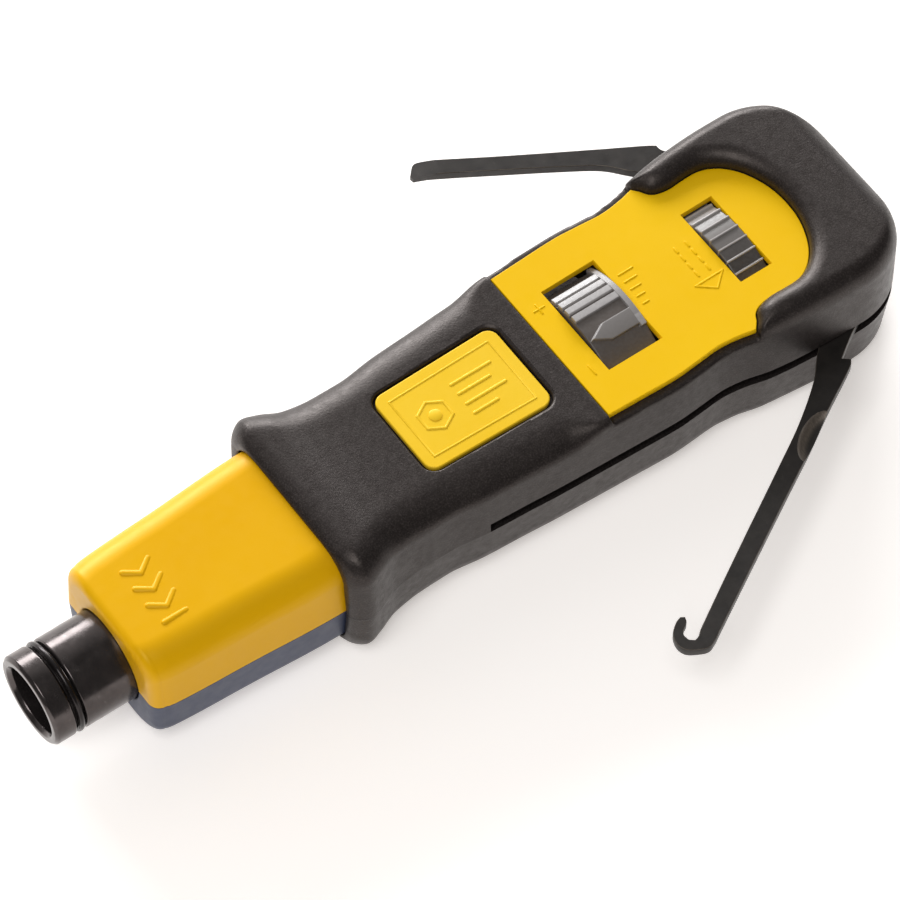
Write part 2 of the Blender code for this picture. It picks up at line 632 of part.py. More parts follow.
for name, (x, y) in (("hook_pivot_pin", HOOK_PIVOT), ("spudger_pivot_pin", SPUD_PIVOT)):
    finish(turned(name, [(-4.0, 0.0), (-4.0, 1.3), (-3.8, PIN_R), (4.8, PIN_R), (5.0, 1.3), (5.0, 0.0)],
                  20, "z", (x, y)), STEEL)

for i, (x, y) in enumerate(SCREWS):
    s = turned("shell_screw_%d" % (i + 1),
               [(-9.2, 0.0), (-9.2, 1.6), (-8.6, 2.1), (-7.6, 2.15), (-7.6, 1.05), (5.6, 1.05), (5.8, 0.0)],
               16, "z", (x, y))
    finish(s, STEEL)
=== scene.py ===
import math

import bmesh
import bpy
import numpy as np
from mathutils import Matrix, Vector


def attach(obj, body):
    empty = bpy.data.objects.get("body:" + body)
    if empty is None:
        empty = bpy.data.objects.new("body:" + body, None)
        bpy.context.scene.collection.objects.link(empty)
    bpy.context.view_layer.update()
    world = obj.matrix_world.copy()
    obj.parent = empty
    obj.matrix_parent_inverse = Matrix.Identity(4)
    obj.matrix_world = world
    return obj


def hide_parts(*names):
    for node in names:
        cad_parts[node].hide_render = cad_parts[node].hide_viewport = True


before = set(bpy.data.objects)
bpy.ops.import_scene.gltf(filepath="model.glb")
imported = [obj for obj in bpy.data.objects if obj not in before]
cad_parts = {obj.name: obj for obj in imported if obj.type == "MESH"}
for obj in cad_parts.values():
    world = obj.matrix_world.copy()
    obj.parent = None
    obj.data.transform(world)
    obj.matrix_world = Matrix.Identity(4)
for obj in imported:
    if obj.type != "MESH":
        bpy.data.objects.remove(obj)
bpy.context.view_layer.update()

# Shapes are made in millimetres, X from the nozzle's rim and Z from the parting
# plane, and settle() moves them into the row frame. These numbers repeat the
# solids' own, so that each skin lies on the CAD node it stands for.
ORIGIN_X, AXIS_H = 65.0, 10.0
HANDLE_X0, HANDLE_X1, BUTT_R = 39.6, 129.7, 10.5
BUTT_XC = HANDLE_X1 - BUTT_R
SLOT_X0, SLOT_TOP, SLOT_IN, SLOT_IN_BUTT = 61.5, 1.8, 7.37, 6.1
PLATE_X0, PLATE_Z0, PLATE_RISE, PLATE_T = 80.2, 10.2, 0.017, 0.9
DIAL_WIN, REL_WIN = (84.3, 92.6, 7.35), (106.1, 111.0, 6.45)
BADGE = (56.9, 76.0, 6.7, 7.0)
HOOK_PIVOT, SPUD_PIVOT = (123.9, -10.0), (125.6, 9.6)
PIN_R = 1.5
SCREWS = [(99.4, 4.9), (99.4, -4.9), (124.4, 3.0), (124.4, -3.0)]
HEAD_SCREWS = [(36.0, 7.3), (36.0, -7.3)]

SIDE = [(39.6, 13.2), (40.4, 14.2), (42.0, 14.9), (44.0, 14.3), (47.3, 13.05),
        (51.5, 12.65), (55.7, 12.65), (61.5, 13.3), (67.6, 13.65), (72.0, 13.95),
        (78.0, 14.2), (84.5, 14.45), (90.5, 14.65), (94.4, 14.4), (97.8, 14.15),
        (100.8, 14.45), (104.9, 15.4), (110.0, 15.95), (116.0, 16.25),
        (BUTT_XC, 16.25)]
TOP = [(39.6, 10.2), (40.4, 10.9), (42.0, 11.4), (44.0, 11.3), (47.3, 10.7),
       (51.5, 10.25), (55.7, 10.1), (61.5, 10.1), (72.0, 10.15), (80.0, 10.3),
       (100.0, 10.9), (102.6, 11.6), (105.0, 12.4), (110.0, 12.9),
       (118.0, 13.05), (125.0, 12.9), (127.6, 12.7)]
TOP_RY = [(39.6, 4.0), (47.0, 5.0), (60.0, 5.2), (74.0, 4.6), (79.0, 1.2),
          (101.0, 1.2), (105.0, 2.5), (118.0, 2.6), (130.0, 2.6)]
TOP_RZ = [(39.6, 4.0), (47.0, 3.2), (60.0, 2.7), (74.0, 2.6), (79.0, 1.0),
          (101.0, 1.0), (105.0, 3.0), (118.0, 3.25), (130.0, 3.25)]
BOT = [(39.6, -8.7), (40.4, -9.4), (42.0, -9.9), (46.0, -9.85), (51.5, -9.8),
       (58.0, -9.95), (62.0, -10.0), (127.6, -10.0)]
BOT_R = [(39.6, 4.6), (47.0, 4.6), (55.0, 4.8), (62.0, 4.9), (80.0, 4.7),
         (95.0, 4.3), (118.0, 2.8), (130.0, 2.8)]
HEAD_X0, NECK_X, HEAD_X1 = 12.0, 39.9, 51.6
HEAD_TOP, HEAD_TOP_REAR, HEAD_BOT = 8.95, 9.6, -8.7
HEAD_SIDE = [(12.0, 8.6), (12.4, 9.7), (13.2, 10.3), (14.5, 10.75), (26.0, 11.4),
             (39.6, 12.1), (40.4, 12.1)]


def lookup(table, x):
    """Smooth curve through the table's points."""
    if x <= table[0][0]:
        return table[0][1]
    if x >= table[-1][0]:
        return table[-1][1]
    for i in range(len(table) - 1):
        x0, y0 = table[i]
        x1, y1 = table[i + 1]
        if x0 <= x <= x1:
            d = (y1 - y0) / (x1 - x0)
            before = (y0 - table[i - 1][1]) / (x0 - table[i - 1][0]) if i else d
            after = ((table[i + 2][1] - y1) / (table[i + 2][0] - x1)
                     if i + 2 < len(table) else d)
            m0 = 0.0 if before * d <= 0 else 2 * before * d / (before + d)
            m1 = 0.0 if after * d <= 0 else 2 * after * d / (after + d)
            t = (x - x0) / (x1 - x0)
            h = x1 - x0
            return ((2 * t**3 - 3 * t**2 + 1) * y0 + (t**3 - 2 * t**2 + t) * h * m0
                    + (-2 * t**3 + 3 * t**2) * y1 + (t**3 - t**2) * h * m1)
    return table[-1][1]


def side_width(x):
    if x <= BUTT_XC:
        return lookup(SIDE, x)
    s = min((x - BUTT_XC) / BUTT_R, 1.0)
    return lookup(SIDE, BUTT_XC) - BUTT_R * (1 - math.sqrt(1 - s * s))


def end_drop(x, r):
    s = (x - (HANDLE_X1 - r)) / r
    return r * (1 - math.sqrt(max(1 - s * s, 0.0))) if s > 0 else 0.0


def ramp(x, x0, x1):
    return min(1.0, max(0.0, (x - x0) / (x1 - x0)))


def head_top(x):
    return HEAD_TOP + (HEAD_TOP_REAR - HEAD_TOP) * ramp(x, HEAD_X0, HANDLE_X0)


def plate_top(x):
    return PLATE_Z0 + PLATE_RISE * (x - 80.0)


# ------------------------------------------------------------------ mesh tools
def build(name, verts, faces):
    """A mesh object in millimetres, its faces turned out."""
    mesh = bpy.data.meshes.new(name)
    mesh.from_pydata([tuple(map(float, v)) for v in verts], [], faces)
    bm = bmesh.new()
    bm.from_mesh(mesh)
    bmesh.ops.remove_doubles(bm, verts=bm.verts, dist=1e-5)
    bmesh.ops.recalc_face_normals(bm, faces=bm.faces)
    bm.to_mesh(mesh)
    bm.free()
    ob = bpy.data.objects.new(name, mesh)
    bpy.context.scene.collection.objects.link(ob)
    return ob


def loft(name, rings):
    n = len(rings[0])
    verts = [v for ring in rings for v in ring]
    faces = [tuple(range(n)), tuple(reversed(range(len(verts) - n, len(verts))))]
    for i in range(len(rings) - 1):
        for j in range(n):
            a, b = i * n + j, i * n + (j + 1) % n
            faces.append((a, b, b + n, a + n))
    return build(name, verts, faces)


def at(axis, p, h):
    return (h, p[0], p[1]) if axis == "x" else (p[0], h, p[1]) if axis == "y" else (p[0], p[1], h)


def prism(name, outline, axis, lo, hi):
    return loft(name, [[at(axis, p, lo) for p in outline], [at(axis, p, hi) for p in outline]])


def box(name, x0, x1, y0, y1, z0, z1):
    return prism(name, [(x0, y0), (x1, y0), (x1, y1), (x0, y1)], "z", z0, z1)


def circle(cx, cy, r, n=48, start=0.0, end=360.0):
    full = abs(end - start) >= 359.9
    return [(cx + r * math.cos(math.radians(start + (end - start) * i / n)),
             cy + r * math.sin(math.radians(start + (end - start) * i / n)))
            for i in range(n if full else n + 1)]


def cyl(name, axis, c, r, lo, hi, n=48):
    return prism(name, circle(c[0], c[1], r, n), axis, lo, hi)


def turned(name, profile, n=96, axis="x", centre=(0.0, 0.0)):
    """Turned ring or shaft from a closed (along, radius) profile."""
    verts, faces = [], []
    m = len(profile)
    for k in range(n):
        a = 2 * math.pi * k / n
        for s, r in profile:
            u, v = centre[0] + r * math.cos(a), centre[1] + r * math.sin(a)
            verts.append((s, u, v) if axis == "x" else (u, v, s))
    for k in range(n):
        for j in range(m):
            a, b = k * m + j, k * m + (j + 1) % m
            c, d = ((k + 1) % n) * m + (j + 1) % m, ((k + 1) % n) * m + j
            if profile[j][1] < 1e-9 and profile[(j + 1) % m][1] < 1e-9:
                continue
            if profile[j][1] < 1e-9:
                faces.append((a, b, c))
            elif profile[(j + 1) % m][1] < 1e-9:
                faces.append((a, b, d))
            else:
                faces.append((a, b, c, d))
    return build(name, verts, faces)


def rounded_profile(points, r=0.08, n=3):
    """A turned profile with each corner off the axis rounded by r."""
    out = []
    m = len(points)
    for i, p in enumerate(points):
        a, b = points[i - 1], points[(i + 1) % m]
        if p[1] < 1e-9:
            out.append(p)
            continue
        va = (a[0] - p[0], a[1] - p[1])
        vb = (b[0] - p[0], b[1] - p[1])
        la, lb = math.hypot(*va), math.hypot(*vb)
        k = min(r, la * 0.45, lb * 0.45)
        for t in [j / n for j in range(n + 1)]:
            qa = (p[0] + va[0] / la * k * (1 - t), p[1] + va[1] / la * k * (1 - t))
            qb = (p[0] + vb[0] / lb * k * t, p[1] + vb[1] / lb * k * t)
            out.append(tuple((1 - t) * qa[i] + t * qb[i] for i in (0, 1)))
    return out


def evaluated(ob):
    """Applies the object's modifiers."""
    bpy.context.view_layer.update()
    mesh = bpy.data.meshes.new_from_object(ob.evaluated_get(bpy.context.evaluated_depsgraph_get()))
    ob.modifiers.clear()
    old = ob.data
    ob.data = mesh
    bpy.data.meshes.remove(old)
    return ob


def cut(target, tools, op="DIFFERENCE"):
    for tool in tools:
        mod = target.modifiers.new("bool", "BOOLEAN")
        mod.operation = op
        mod.solver = "MANIFOLD"
        mod.object = tool
        evaluated(target)
        bpy.data.objects.remove(tool, do_unlink=True)
    return target


def remesh(ob, voxel, rounds=4, factor=0.5):
    """Even fine skin with softened edges, for moulded rubber."""
    mod = ob.modifiers.new("remesh", "REMESH")
    mod.mode = "VOXEL"
    mod.voxel_size = voxel
    mod.adaptivity = 0.0
    if rounds:
        mod = ob.modifiers.new("smooth", "SMOOTH")
        mod.factor = factor
        mod.iterations = rounds
    return evaluated(ob)


def settle(ob, body, mats, nodes, smooth=35.0):
    """Into the row frame, with its material, body and the CAD nodes it stands for."""
    ob.data.transform(Matrix.Translation((-ORIGIN_X / 1000, 0, AXIS_H / 1000)) @ Matrix.Scale(0.001, 4))
    if not ob.data.materials or ob.data.materials[0] is None:
        ob.data.materials.clear()
        for m in (mats if isinstance(mats, (list, tuple)) else [mats]):
            ob.data.materials.append(m)
    ob.data.shade_smooth()
    if smooth < 180:
        ob.data.set_sharp_from_angle(angle=math.radians(smooth))
        # large flat faces keep their own normal beside their rounded edges
        mod = ob.modifiers.new("normals", "WEIGHTED_NORMAL")
        mod.mode = "FACE_AREA"
        mod.weight = 100
        mod.keep_sharp = True
    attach(ob, body)
    if nodes:
        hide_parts(*nodes)
    return ob


def over(w_side, w_top, z0, z1, ry, rz, n=20, wall=1, flat=1):
    """Upper half section from +Y round to -Y."""
    pts = []
    for i in range(wall):
        t = i / wall
        pts.append((w_side + (w_top - w_side) * t, z0 + (z1 - rz - z0) * t))
    for i in range(n + 1):
        a = math.pi / 2 * i / n
        pts.append((w_top - ry + ry * math.cos(a), z1 - rz + rz * math.sin(a)))
    for i in range(1, flat):
        pts.append(((w_top - ry) * (1 - i / flat), z1))
    return pts + [(-y, z) for y, z in reversed(pts)]


def smooth_outline(pts, corner=40.0, n=5):
    """Closed outline: gentle vertices become a flowing curve, sharp ones stay."""
    m = len(pts)
    P = [Vector(p) for p in pts]
    tang = []
    for i in range(m):
        a, b, c = P[i - 1], P[i], P[(i + 1) % m]
        u, v = (b - a), (c - b)
        ang = abs(math.degrees(u.angle(v))) if u.length > 1e-9 and v.length > 1e-9 else 0
        if ang > corner:
            tang.append(None)
        else:
            tang.append((u + v).normalized())
    out = []
    for i in range(m):
        a, b = P[i], P[(i + 1) % m]
        L = (b - a).length
        ta = tang[i] if tang[i] is not None else (b - a).normalized()
        tb = tang[(i + 1) % m] if tang[(i + 1) % m] is not None else (b - a).normalized()
        k = max(1, min(n, int(L / 0.25)))
        if tang[i] is None and tang[(i + 1) % m] is None:
            k = 1
        for j in range(k):
            t = j / k
            h = ((2 * t**3 - 3 * t**2 + 1) * a + (t**3 - 2 * t**2 + t) * L * ta
                 + (-2 * t**3 + 3 * t**2) * b + (t**3 - t**2) * L * tb)
            out.append((h.x, h.y))
    return out


def area(pts):
    return sum(pts[i - 1][0] * pts[i][1] - pts[i][0] * pts[i - 1][1] for i in range(len(pts))) / 2


def offset(pts, d):
    """Outline moved outwards by d, mitred."""
    s = 1.0 if area(pts) > 0 else -1.0
    out = []
    m = len(pts)
    for i in range(m):
        a, b, c = pts[i - 1], pts[i], pts[(i + 1) % m]
        u = (b[0] - a[0], b[1] - a[1])
        v = (c[0] - b[0], c[1] - b[1])
        lu, lv = math.hypot(*u), math.hypot(*v)
        nu = (u[1] / lu * s, -u[0] / lu * s)
        nv = (v[1] / lv * s, -v[0] / lv * s)
        k = 1 + nu[0] * nv[0] + nu[1] * nv[1]
        k = max(k, 0.5)
        out.append((b[0] + (nu[0] + nv[0]) / k * d, b[1] + (nu[1] + nv[1]) / k * d))
    return out


def slab(name, outline, z0, z1, edge=0.15, n=3, low=None, ztop=None):
    """An outline between two heights with rounded edges. ztop(x) tilts its top."""
    low = edge if low is None else low
    dz = (lambda x: 0.0) if ztop is None else ztop
    rings = []
    for k in range(n + 1):
        a = math.pi / 2 * k / n
        if low:
            o = offset(outline, -low * (1 - math.sin(a)))
            rings.append([(x, y, z0 + dz(x) + low * (1 - math.cos(a))) for x, y in o])
    if not low:
        rings.append([(x, y, z0 + dz(x)) for x, y in outline])
    for k in range(n + 1):
        a = math.pi / 2 * k / n
        o = offset(outline, -edge * (1 - math.cos(a)))
        rings.append([(x, y, z1 + dz(x) - edge * (1 - math.sin(a))) for x, y in o])
    return loft(name, rings)


def bead(path, w, h, z, tilt=None, sink=0.05):
    """A raised rounded line along straight strokes, one closed solid per stroke."""
    out = []
    for (x0, y0), (x1, y1) in zip(path[:-1], path[1:]):
        L = math.hypot(x1 - x0, y1 - y0)
        ux, uy = (x1 - x0) / L, (y1 - y0) / L
        r = w / 2
        m, n = 8, 12
        rings = []
        # end caps are quarter domes
        stops = [(-r * math.cos(math.pi / 2 * k / 4), math.sin(math.pi / 2 * k / 4)) for k in range(1, 5)]
        stops += [(L + r * math.cos(math.pi / 2 * k / 4), math.sin(math.pi / 2 * k / 4)) for k in range(4, 0, -1)]
        for s, f in stops:
            ring = []
            for k in range(n):
                a = 2 * math.pi * k / n
                v = r * f * math.cos(a)
                hz = h * (f * math.sin(a) if math.sin(a) >= 0 else 1.2 * f * math.sin(a))
                px, py = x0 + ux * s - uy * v, y0 + uy * s + ux * v
                ring.append((px, py, z + (tilt(px) if tilt else 0.0) + hz - sink))
            rings.append(ring)
        out.append(loft("bead", rings))
    return out


def arc_path(cx, cy, r, a0, a1, n):
    return [(cx + r * math.cos(math.radians(a0 + (a1 - a0) * i / n)),
             cy + r * math.sin(math.radians(a0 + (a1 - a0) * i / n))) for i in range(n + 1)]


# ------------------------------------------------------------------- materials
def lin(r, g, b):
    return tuple(((c / 255 + 0.055) / 1.055) ** 2.4 if c / 255 > 0.04045 else c / 255 / 12.92 for c in (r, g, b))


class Mat:
    """A Principled material with helpers for layered procedural detail."""

    def __init__(self, name, rough=0.4, metal=0.0, spec=0.5):
        self.m = bpy.data.materials.new(name)
        self.m.use_nodes = True
        self.t = self.m.node_tree
        self.p = self.t.nodes["Principled BSDF"]
        self.p.inputs["Roughness"].default_value = rough
        self.p.inputs["Metallic"].default_value = metal
        self.p.inputs["Specular IOR Level"].default_value = spec
        self.co = self.t.nodes.new("ShaderNodeTexCoord").outputs["Object"]
        self.normal = None

    def node(self, kind, **kw):
        n = self.t.nodes.new(kind)
        for k, v in kw.items():
            setattr(n, k, v)
        return n

    def link(self, a, b):
        self.t.links.new(a, b)

    def noise(self, scale, detail=2.0, rough=0.5, stretch=None, w=None):
        n = self.node("ShaderNodeTexNoise")
        n.inputs["Scale"].default_value = scale
        n.inputs["Detail"].default_value = detail
        n.inputs["Roughness"].default_value = rough
        src = self.co
        if stretch:
            mp = self.node("ShaderNodeMapping")
            mp.inputs["Scale"].default_value = stretch
            self.link(src, mp.inputs["Vector"])
            src = mp.outputs["Vector"]
        self.link(src, n.inputs["Vector"])
        return n.outputs["Fac"]

    def voronoi(self, scale, feature="F1"):
        n = self.node("ShaderNodeTexVoronoi", feature=feature)
        n.inputs["Scale"].default_value = scale
        self.link(self.co, n.inputs["Vector"])
        return n.outputs["Distance"]

    def remap(self, src, a0, a1, b0, b1):
        n = self.node("ShaderNodeMapRange")
        for k, v in zip(("From Min", "From Max", "To Min", "To Max"), (a0, a1, b0, b1)):
            n.inputs[k].default_value = v
        self.link(src, n.inputs["Value"])
        return n.outputs["Result"]

    def mix(self, fac, a, b, mode="MIX"):
        n = self.node("ShaderNodeMix", data_type="RGBA", blend_type=mode)
        if isinstance(fac, float):
            n.inputs["Factor"].default_value = fac
        else:
            self.link(fac, n.inputs["Factor"])
        for v, key in ((a, 6), (b, 7)):
            if isinstance(v, tuple):
                n.inputs[key].default_value = (*v, 1.0)
            else:
                self.link(v, n.inputs[key])
        return n.outputs[2]

    def math(self, op, a, b):
        n = self.node("ShaderNodeMath", operation=op)
        for v, i in ((a, 0), (b, 1)):
            if isinstance(v, (int, float)):
                n.inputs[i].default_value = v
            else:
                self.link(v, n.inputs[i])
        return n.outputs[0]

    def bump(self, height, strength, distance):
        n = self.node("ShaderNodeBump")
        n.inputs["Strength"].default_value = strength
        n.inputs["Distance"].default_value = distance
        self.link(height, n.inputs["Height"])
        if self.normal is not None:
            self.link(self.normal, n.inputs["Normal"])
        self.normal = n.outputs["Normal"]
        self.link(self.normal, self.p.inputs["Normal"])

    def attribute(self, name):
        n = self.node("ShaderNodeAttribute", attribute_name=name)
        return n.outputs["Fac"]

    def edge_wear(self, lo=0.52, hi=0.60):
        g = self.node("ShaderNodeNewGeometry")
        return self.remap(g.outputs["Pointiness"], lo, hi, 0.0, 1.0)

    def colour(self, src):
        if isinstance(src, tuple):
            self.p.inputs["Base Color"].default_value = (*src, 1.0)
        else:
            self.link(src, self.p.inputs["Base Color"])

    def roughness(self, src):
        self.link(src, self.p.inputs["Roughness"])


def rubber_mat():
    """Soft-touch rubber: fine pebble grain, faint mottling, dark with a broad soft gloss."""
    m = Mat("black_rubber", spec=0.42)
    m.p.inputs["Specular Tint"].default_value = (1.0, 0.87, 0.81, 1.0)
    base = m.mix(m.noise(260, 3), lin(26, 23, 22), lin(31, 27, 26))
    base = m.mix(m.remap(m.noise(5200, 2), 0.46, 0.70, 0.0, 0.6), base, lin(66, 60, 59))
    base = m.mix(m.remap(m.noise(1500, 2), 0.62, 0.78, 0.0, 0.35), base, lin(26, 24, 25))
    m.colour(base)
    m.roughness(m.remap(m.noise(900, 3), 0.3, 0.7, 0.33, 0.46))
    m.bump(m.noise(3600, 3, 0.6), 0.42, 0.00006)
    m.bump(m.voronoi(2600), 0.16, 0.00005)
    m.bump(m.noise(160, 2), 0.05, 0.0002)
    return m.m


def plastic_mat(name, a, b, rough=0.36, grain=0.16, coat=0.0, spec=0.5, tint=(1.0, 1.0, 1.0)):
    """Moulded satin plastic: slow colour drift, fine spark-eroded grain, rare specks."""
    m = Mat(name, rough, spec=spec)
    base = m.mix(m.remap(m.noise(55, 2), 0.3, 0.7, 0.0, 1.0), a, b)
    dark = tuple(c * 0.93 for c in a)
    base = m.mix(m.remap(m.noise(3800, 2), 0.60, 0.80, 0.0, 0.30), base, dark)
    m.colour(base)
    m.roughness(m.remap(m.noise(700, 3), 0.3, 0.7, rough - 0.04, rough + 0.06))
    m.bump(m.noise(4200, 2, 0.5), grain, 0.00002)
    m.bump(m.noise(90, 1), 0.10, 0.0002)
    m.p.inputs["Coat Weight"].default_value = coat
    m.p.inputs["Specular Tint"].default_value = (*tint, 1.0)
    m.p.inputs["Subsurface Weight"].default_value = 0.0
    return m.m


def light_painted_plastic(name, low, high, rough=0.38):
    """Grey wheel plastic with painted light: a vertex attribute mixes it from a painted-shade grey to a
    painted-highlight grey, lighter where raised, darker in grooves.
    """
    m = Mat(name, rough)
    base = m.mix(m.attribute("painted_light"), low, high)
    base = m.mix(m.remap(m.noise(2400, 3), 0.35, 0.7, 0.0, 0.22), base, lin(120, 116, 116))
    m.colour(base)
    m.roughness(m.remap(m.noise(1500, 2), 0.3, 0.7, rough - 0.05, rough + 0.07))
    m.bump(m.noise(5200, 2), 0.14, 0.00002)
    m.bump(m.noise(2000, 2, stretch=(0.08, 1.0, 1.0)), 0.10, 0.00003)
    return m.m


def metal_mat(name, a, b, rough, metal, turn=None, scratch=0.25, wear=None, spec=0.5, ground=None):
    """Metal with machining lines round X ('x'), along X ('along') or none."""
    m = Mat(name, rough, metal, spec)
    base = m.mix(m.remap(m.noise(420, 4, 0.6), 0.3, 0.72, 0.0, 1.0), a, b)
    if wear:
        base = m.mix(m.remap(m.noise(1400, 5, 0.7), 0.60, 0.82, 0.0, 0.7), base, wear)
    if ground:
        # sloping faces, where the blank was ground, show paler steel with grinding lines
        g = m.node("ShaderNodeNewGeometry")
        split = m.node("ShaderNodeSeparateXYZ")
        m.link(g.outputs["True Normal"], split.inputs[0])
        up = m.math("ABSOLUTE", split.outputs["Z"], 0.0)
        slope = m.math("MULTIPLY", m.remap(up, 0.985, 0.93, 0.0, 1.0), m.remap(up, 0.35, 0.6, 0.0, 1.0))
        lines = m.remap(m.noise(5200, 3, 0.6, stretch=(1.0, 0.06, 1.0)), 0.3, 0.7, 0.55, 1.0)
        base = m.mix(m.math("MULTIPLY", slope, lines), base, ground)
    m.colour(base)
    m.roughness(m.remap(m.noise(650, 4, 0.6), 0.25, 0.75, rough - 0.07, rough + 0.12))
    if turn == "x":
        m.bump(m.noise(9000, 2, stretch=(1.0, 0.02, 0.02)), scratch, 0.00002)
    elif turn == "along":
        m.bump(m.noise(7000, 2, stretch=(0.03, 1.0, 1.0)), scratch, 0.00002)
    m.bump(m.noise(2600, 3), 0.10, 0.00002)
    return m.m


RUBBER = rubber_mat()
WARM = (1.0, 0.78, 0.22)
YELLOW_PLATE = plastic_mat("yellow_plate_plastic", lin(243, 192, 2), lin(246, 197, 8), 0.42, 0.12, 0.0, 0.4, WARM)
YELLOW_BADGE = plastic_mat("yellow_badge_plastic", lin(244, 198, 34), lin(247, 204, 50), 0.38, 0.10, 0.0, 0.5, WARM)
YELLOW_HEAD = plastic_mat("yellow_head_plastic", lin(234, 174, 4), lin(238, 180, 12), 0.36, 0.14, 0.0, 0.4, WARM)
SLATE = plastic_mat("slate_plastic", lin(54, 62, 86), lin(62, 70, 94), 0.42, 0.16)
# each wheel's two greys are its painted shade and its painted highlight, mixed by the per-vertex painted light
# attribute
DIAL_GREY = light_painted_plastic("dial_plastic", lin(92, 85, 80), lin(180, 177, 176), 0.34)
WHEEL_GREY = light_painted_plastic("wheel_plastic", lin(68, 63, 58), lin(188, 183, 180), 0.36)
GUN = metal_mat("nozzle_black_steel", lin(74, 69, 68), lin(90, 84, 83), 0.18, 0.85, "x", 0.26, lin(122, 116, 114))
RING = metal_mat("ring_black_steel", lin(38, 35, 35), lin(52, 48, 48), 0.22, 0.7, None)
ARM = metal_mat("arm_black_oxide", lin(38, 35, 33), lin(52, 48, 45), 0.40, 0.45, "along", 0.10, lin(70, 65, 61),
                ground=lin(112, 102, 92))
STEEL = metal_mat("turned_steel", lin(176, 176, 180), lin(200, 200, 203), 0.30, 1.0, "x", 0.3)
SPRING = metal_mat("spring_steel", lin(150, 150, 156), lin(176, 176, 182), 0.28, 1.0, None)
PIN = metal_mat("pin_steel", lin(120, 118, 118), lin(150, 148, 148), 0.34, 1.0, None)
SCREW = metal_mat("screw_steel", lin(70, 68, 70), lin(96, 93, 95), 0.34, 0.9, None)
BRASS = metal_mat("turned_brass", lin(190, 150, 88), lin(208, 170, 106), 0.32, 1.0, "x", 0.3)


# ---------------------------------------------------------------- handle shells
def stations():
    xs = list(np.linspace(39.6, 48.0, 30)) + list(np.linspace(48.6, BUTT_XC, 100))
    xs += [BUTT_XC + BUTT_R * math.sin(math.radians(a)) for a in np.linspace(2, 90, 36)]
    return xs


def upper_ring(x, base=-0.7):
    w = side_width(x)
    top = lookup(TOP, x) - end_drop(x, 4.6)
    taper = 0.2
    ry = max(min(lookup(TOP_RY, x), w - taper - 1.5), 0.8)
    rz = max(lookup(TOP_RZ, x), 0.8)
    return [(x, y, z) for y, z in over(w, w - taper, base, top, ry, rz)]


def lower_ring(x, base=0.7):
    w = side_width(x)
    bot = lookup(BOT, x) + end_drop(x, 2.6)
    r = lookup(BOT_R, x)
    taper = 0.3 + 0.25 * ramp(x, 47.0, 57.0) + 0.45 * ramp(x, 99.0, 108.0)
    return [(x, y, -z) for y, z in over(w, w - taper, -base, -bot, r, r)]


def channel(name, grow, x0, x1, top, bot, w, taper=0.0, flare=0.0):
    up = over(w + grow, w + grow - taper, 0.0, top + grow, 4.6, 3.8, 16)
    down = over(w + grow, w + grow - taper, 0.0, grow - bot, 4.2, 3.4, 16)
    return prism(name, up + [(y, -z) for y, z in reversed(down)][1:-1], "x", x0, x1)


def slot_cutter(name, side, z0, z1):
    pts = [(SLOT_X0, side * 30), (SLOT_X0, side * SLOT_IN), (112.0, side * SLOT_IN),
           (117.5, side * SLOT_IN_BUTT), (140.0, side * SLOT_IN_BUTT), (140.0, side * 30)]
    return prism(name, pts, "z", z0, z1)


HORN_LINE = [(103.2, 13.35), (104.0, 12.6), (104.6, 11.6), (105.6, 10.95), (107.3, 10.65),
             (109.5, 10.75), (111.5, 10.75), (113.2, 10.3), (115.0, 9.1),
             (116.6, 7.1), (117.8, 4.3), (118.35, 1.6)]


def plate_half():
    """The plate's +Y edge from its front corner round to the middle of its dome."""
    edge = [(x, side_width(x) - 1.45) for x in np.linspace(PLATE_X0, 102.4, 38)]
    dome = HORN_LINE[1:] + [(118.35, -1.6)]
    line = [(103.2, side_width(103.2) - 1.5)]
    P = [Vector(p) for p in dome]
    for i in range(len(P) - 1):
        a, b = P[i], P[i + 1]
        before = P[i - 1] if i else Vector((103.2, side_width(103.2) - 1.5))
        after = P[i + 2] if i + 2 < len(P) else Vector((117.8, -4.3))
        ta, tb = (b - before) / 2, (after - a) / 2
        for j in range(5):
            t = j / 5
            h = ((2 * t**3 - 3 * t**2 + 1) * a + (t**3 - 2 * t**2 + t) * ta
                 + (-2 * t**3 + 3 * t**2) * b + (t**3 - t**2) * tb)
            if h.y > 0.02:
                line.append((h.x, h.y))
    return edge + line


def plate_outline():
    half = plate_half()
    return half + [(x, -y) for x, y in reversed(half)]


def pocket_cutter(gap):
    """Clears the plate and rounds over the inner edge of the horns."""
    half = plate_half()
    start = next(i for i, p in enumerate(half) if p[0] > 103.0)
    tail = half[start:]
    levels = []
    wide, high = 2.3, 1.75
    for k in range(13):
        a = math.pi / 2 * k / 12
        levels.append((0.35 * k / 12 + wide * (1 - math.cos(a)), high * (1 - math.sin(a))))
    rings = []

    def ring(grow, zf):
        g = gap + grow
        side = [(PLATE_X0 - gap, 22.0), (102.9 - grow * 0.5, 22.0)]
        pts = list(side)
        for i, (x, y) in enumerate(tail):
            xa, ya = tail[max(i - 1, 0)]
            xb, yb = tail[min(i + 1, len(tail) - 1)]
            if i == len(tail) - 1:
                xb, yb = x + 0.0, -y
            tx, ty = xb - xa, yb - ya
            n = math.hypot(tx, ty)
            pts.append((x - ty / n * g, y + tx / n * g))
        full = pts + [(x, -y) for x, y in reversed(pts)]
        return [(x, y, zf(x)) for x, y in full]

    rings.append(ring(0.0, lambda x: plate_top(x) - PLATE_T - 0.1))
    for g, d in levels:
        rings.append(ring(g, lambda x, d=d: max(lookup(TOP, x) + 0.02 - d, plate_top(x) + 0.02 * (1.75 - d))))
    rings.append(ring(levels[-1][0] + 0.4, lambda x: 24.0))
    return loft("pocket", rings)


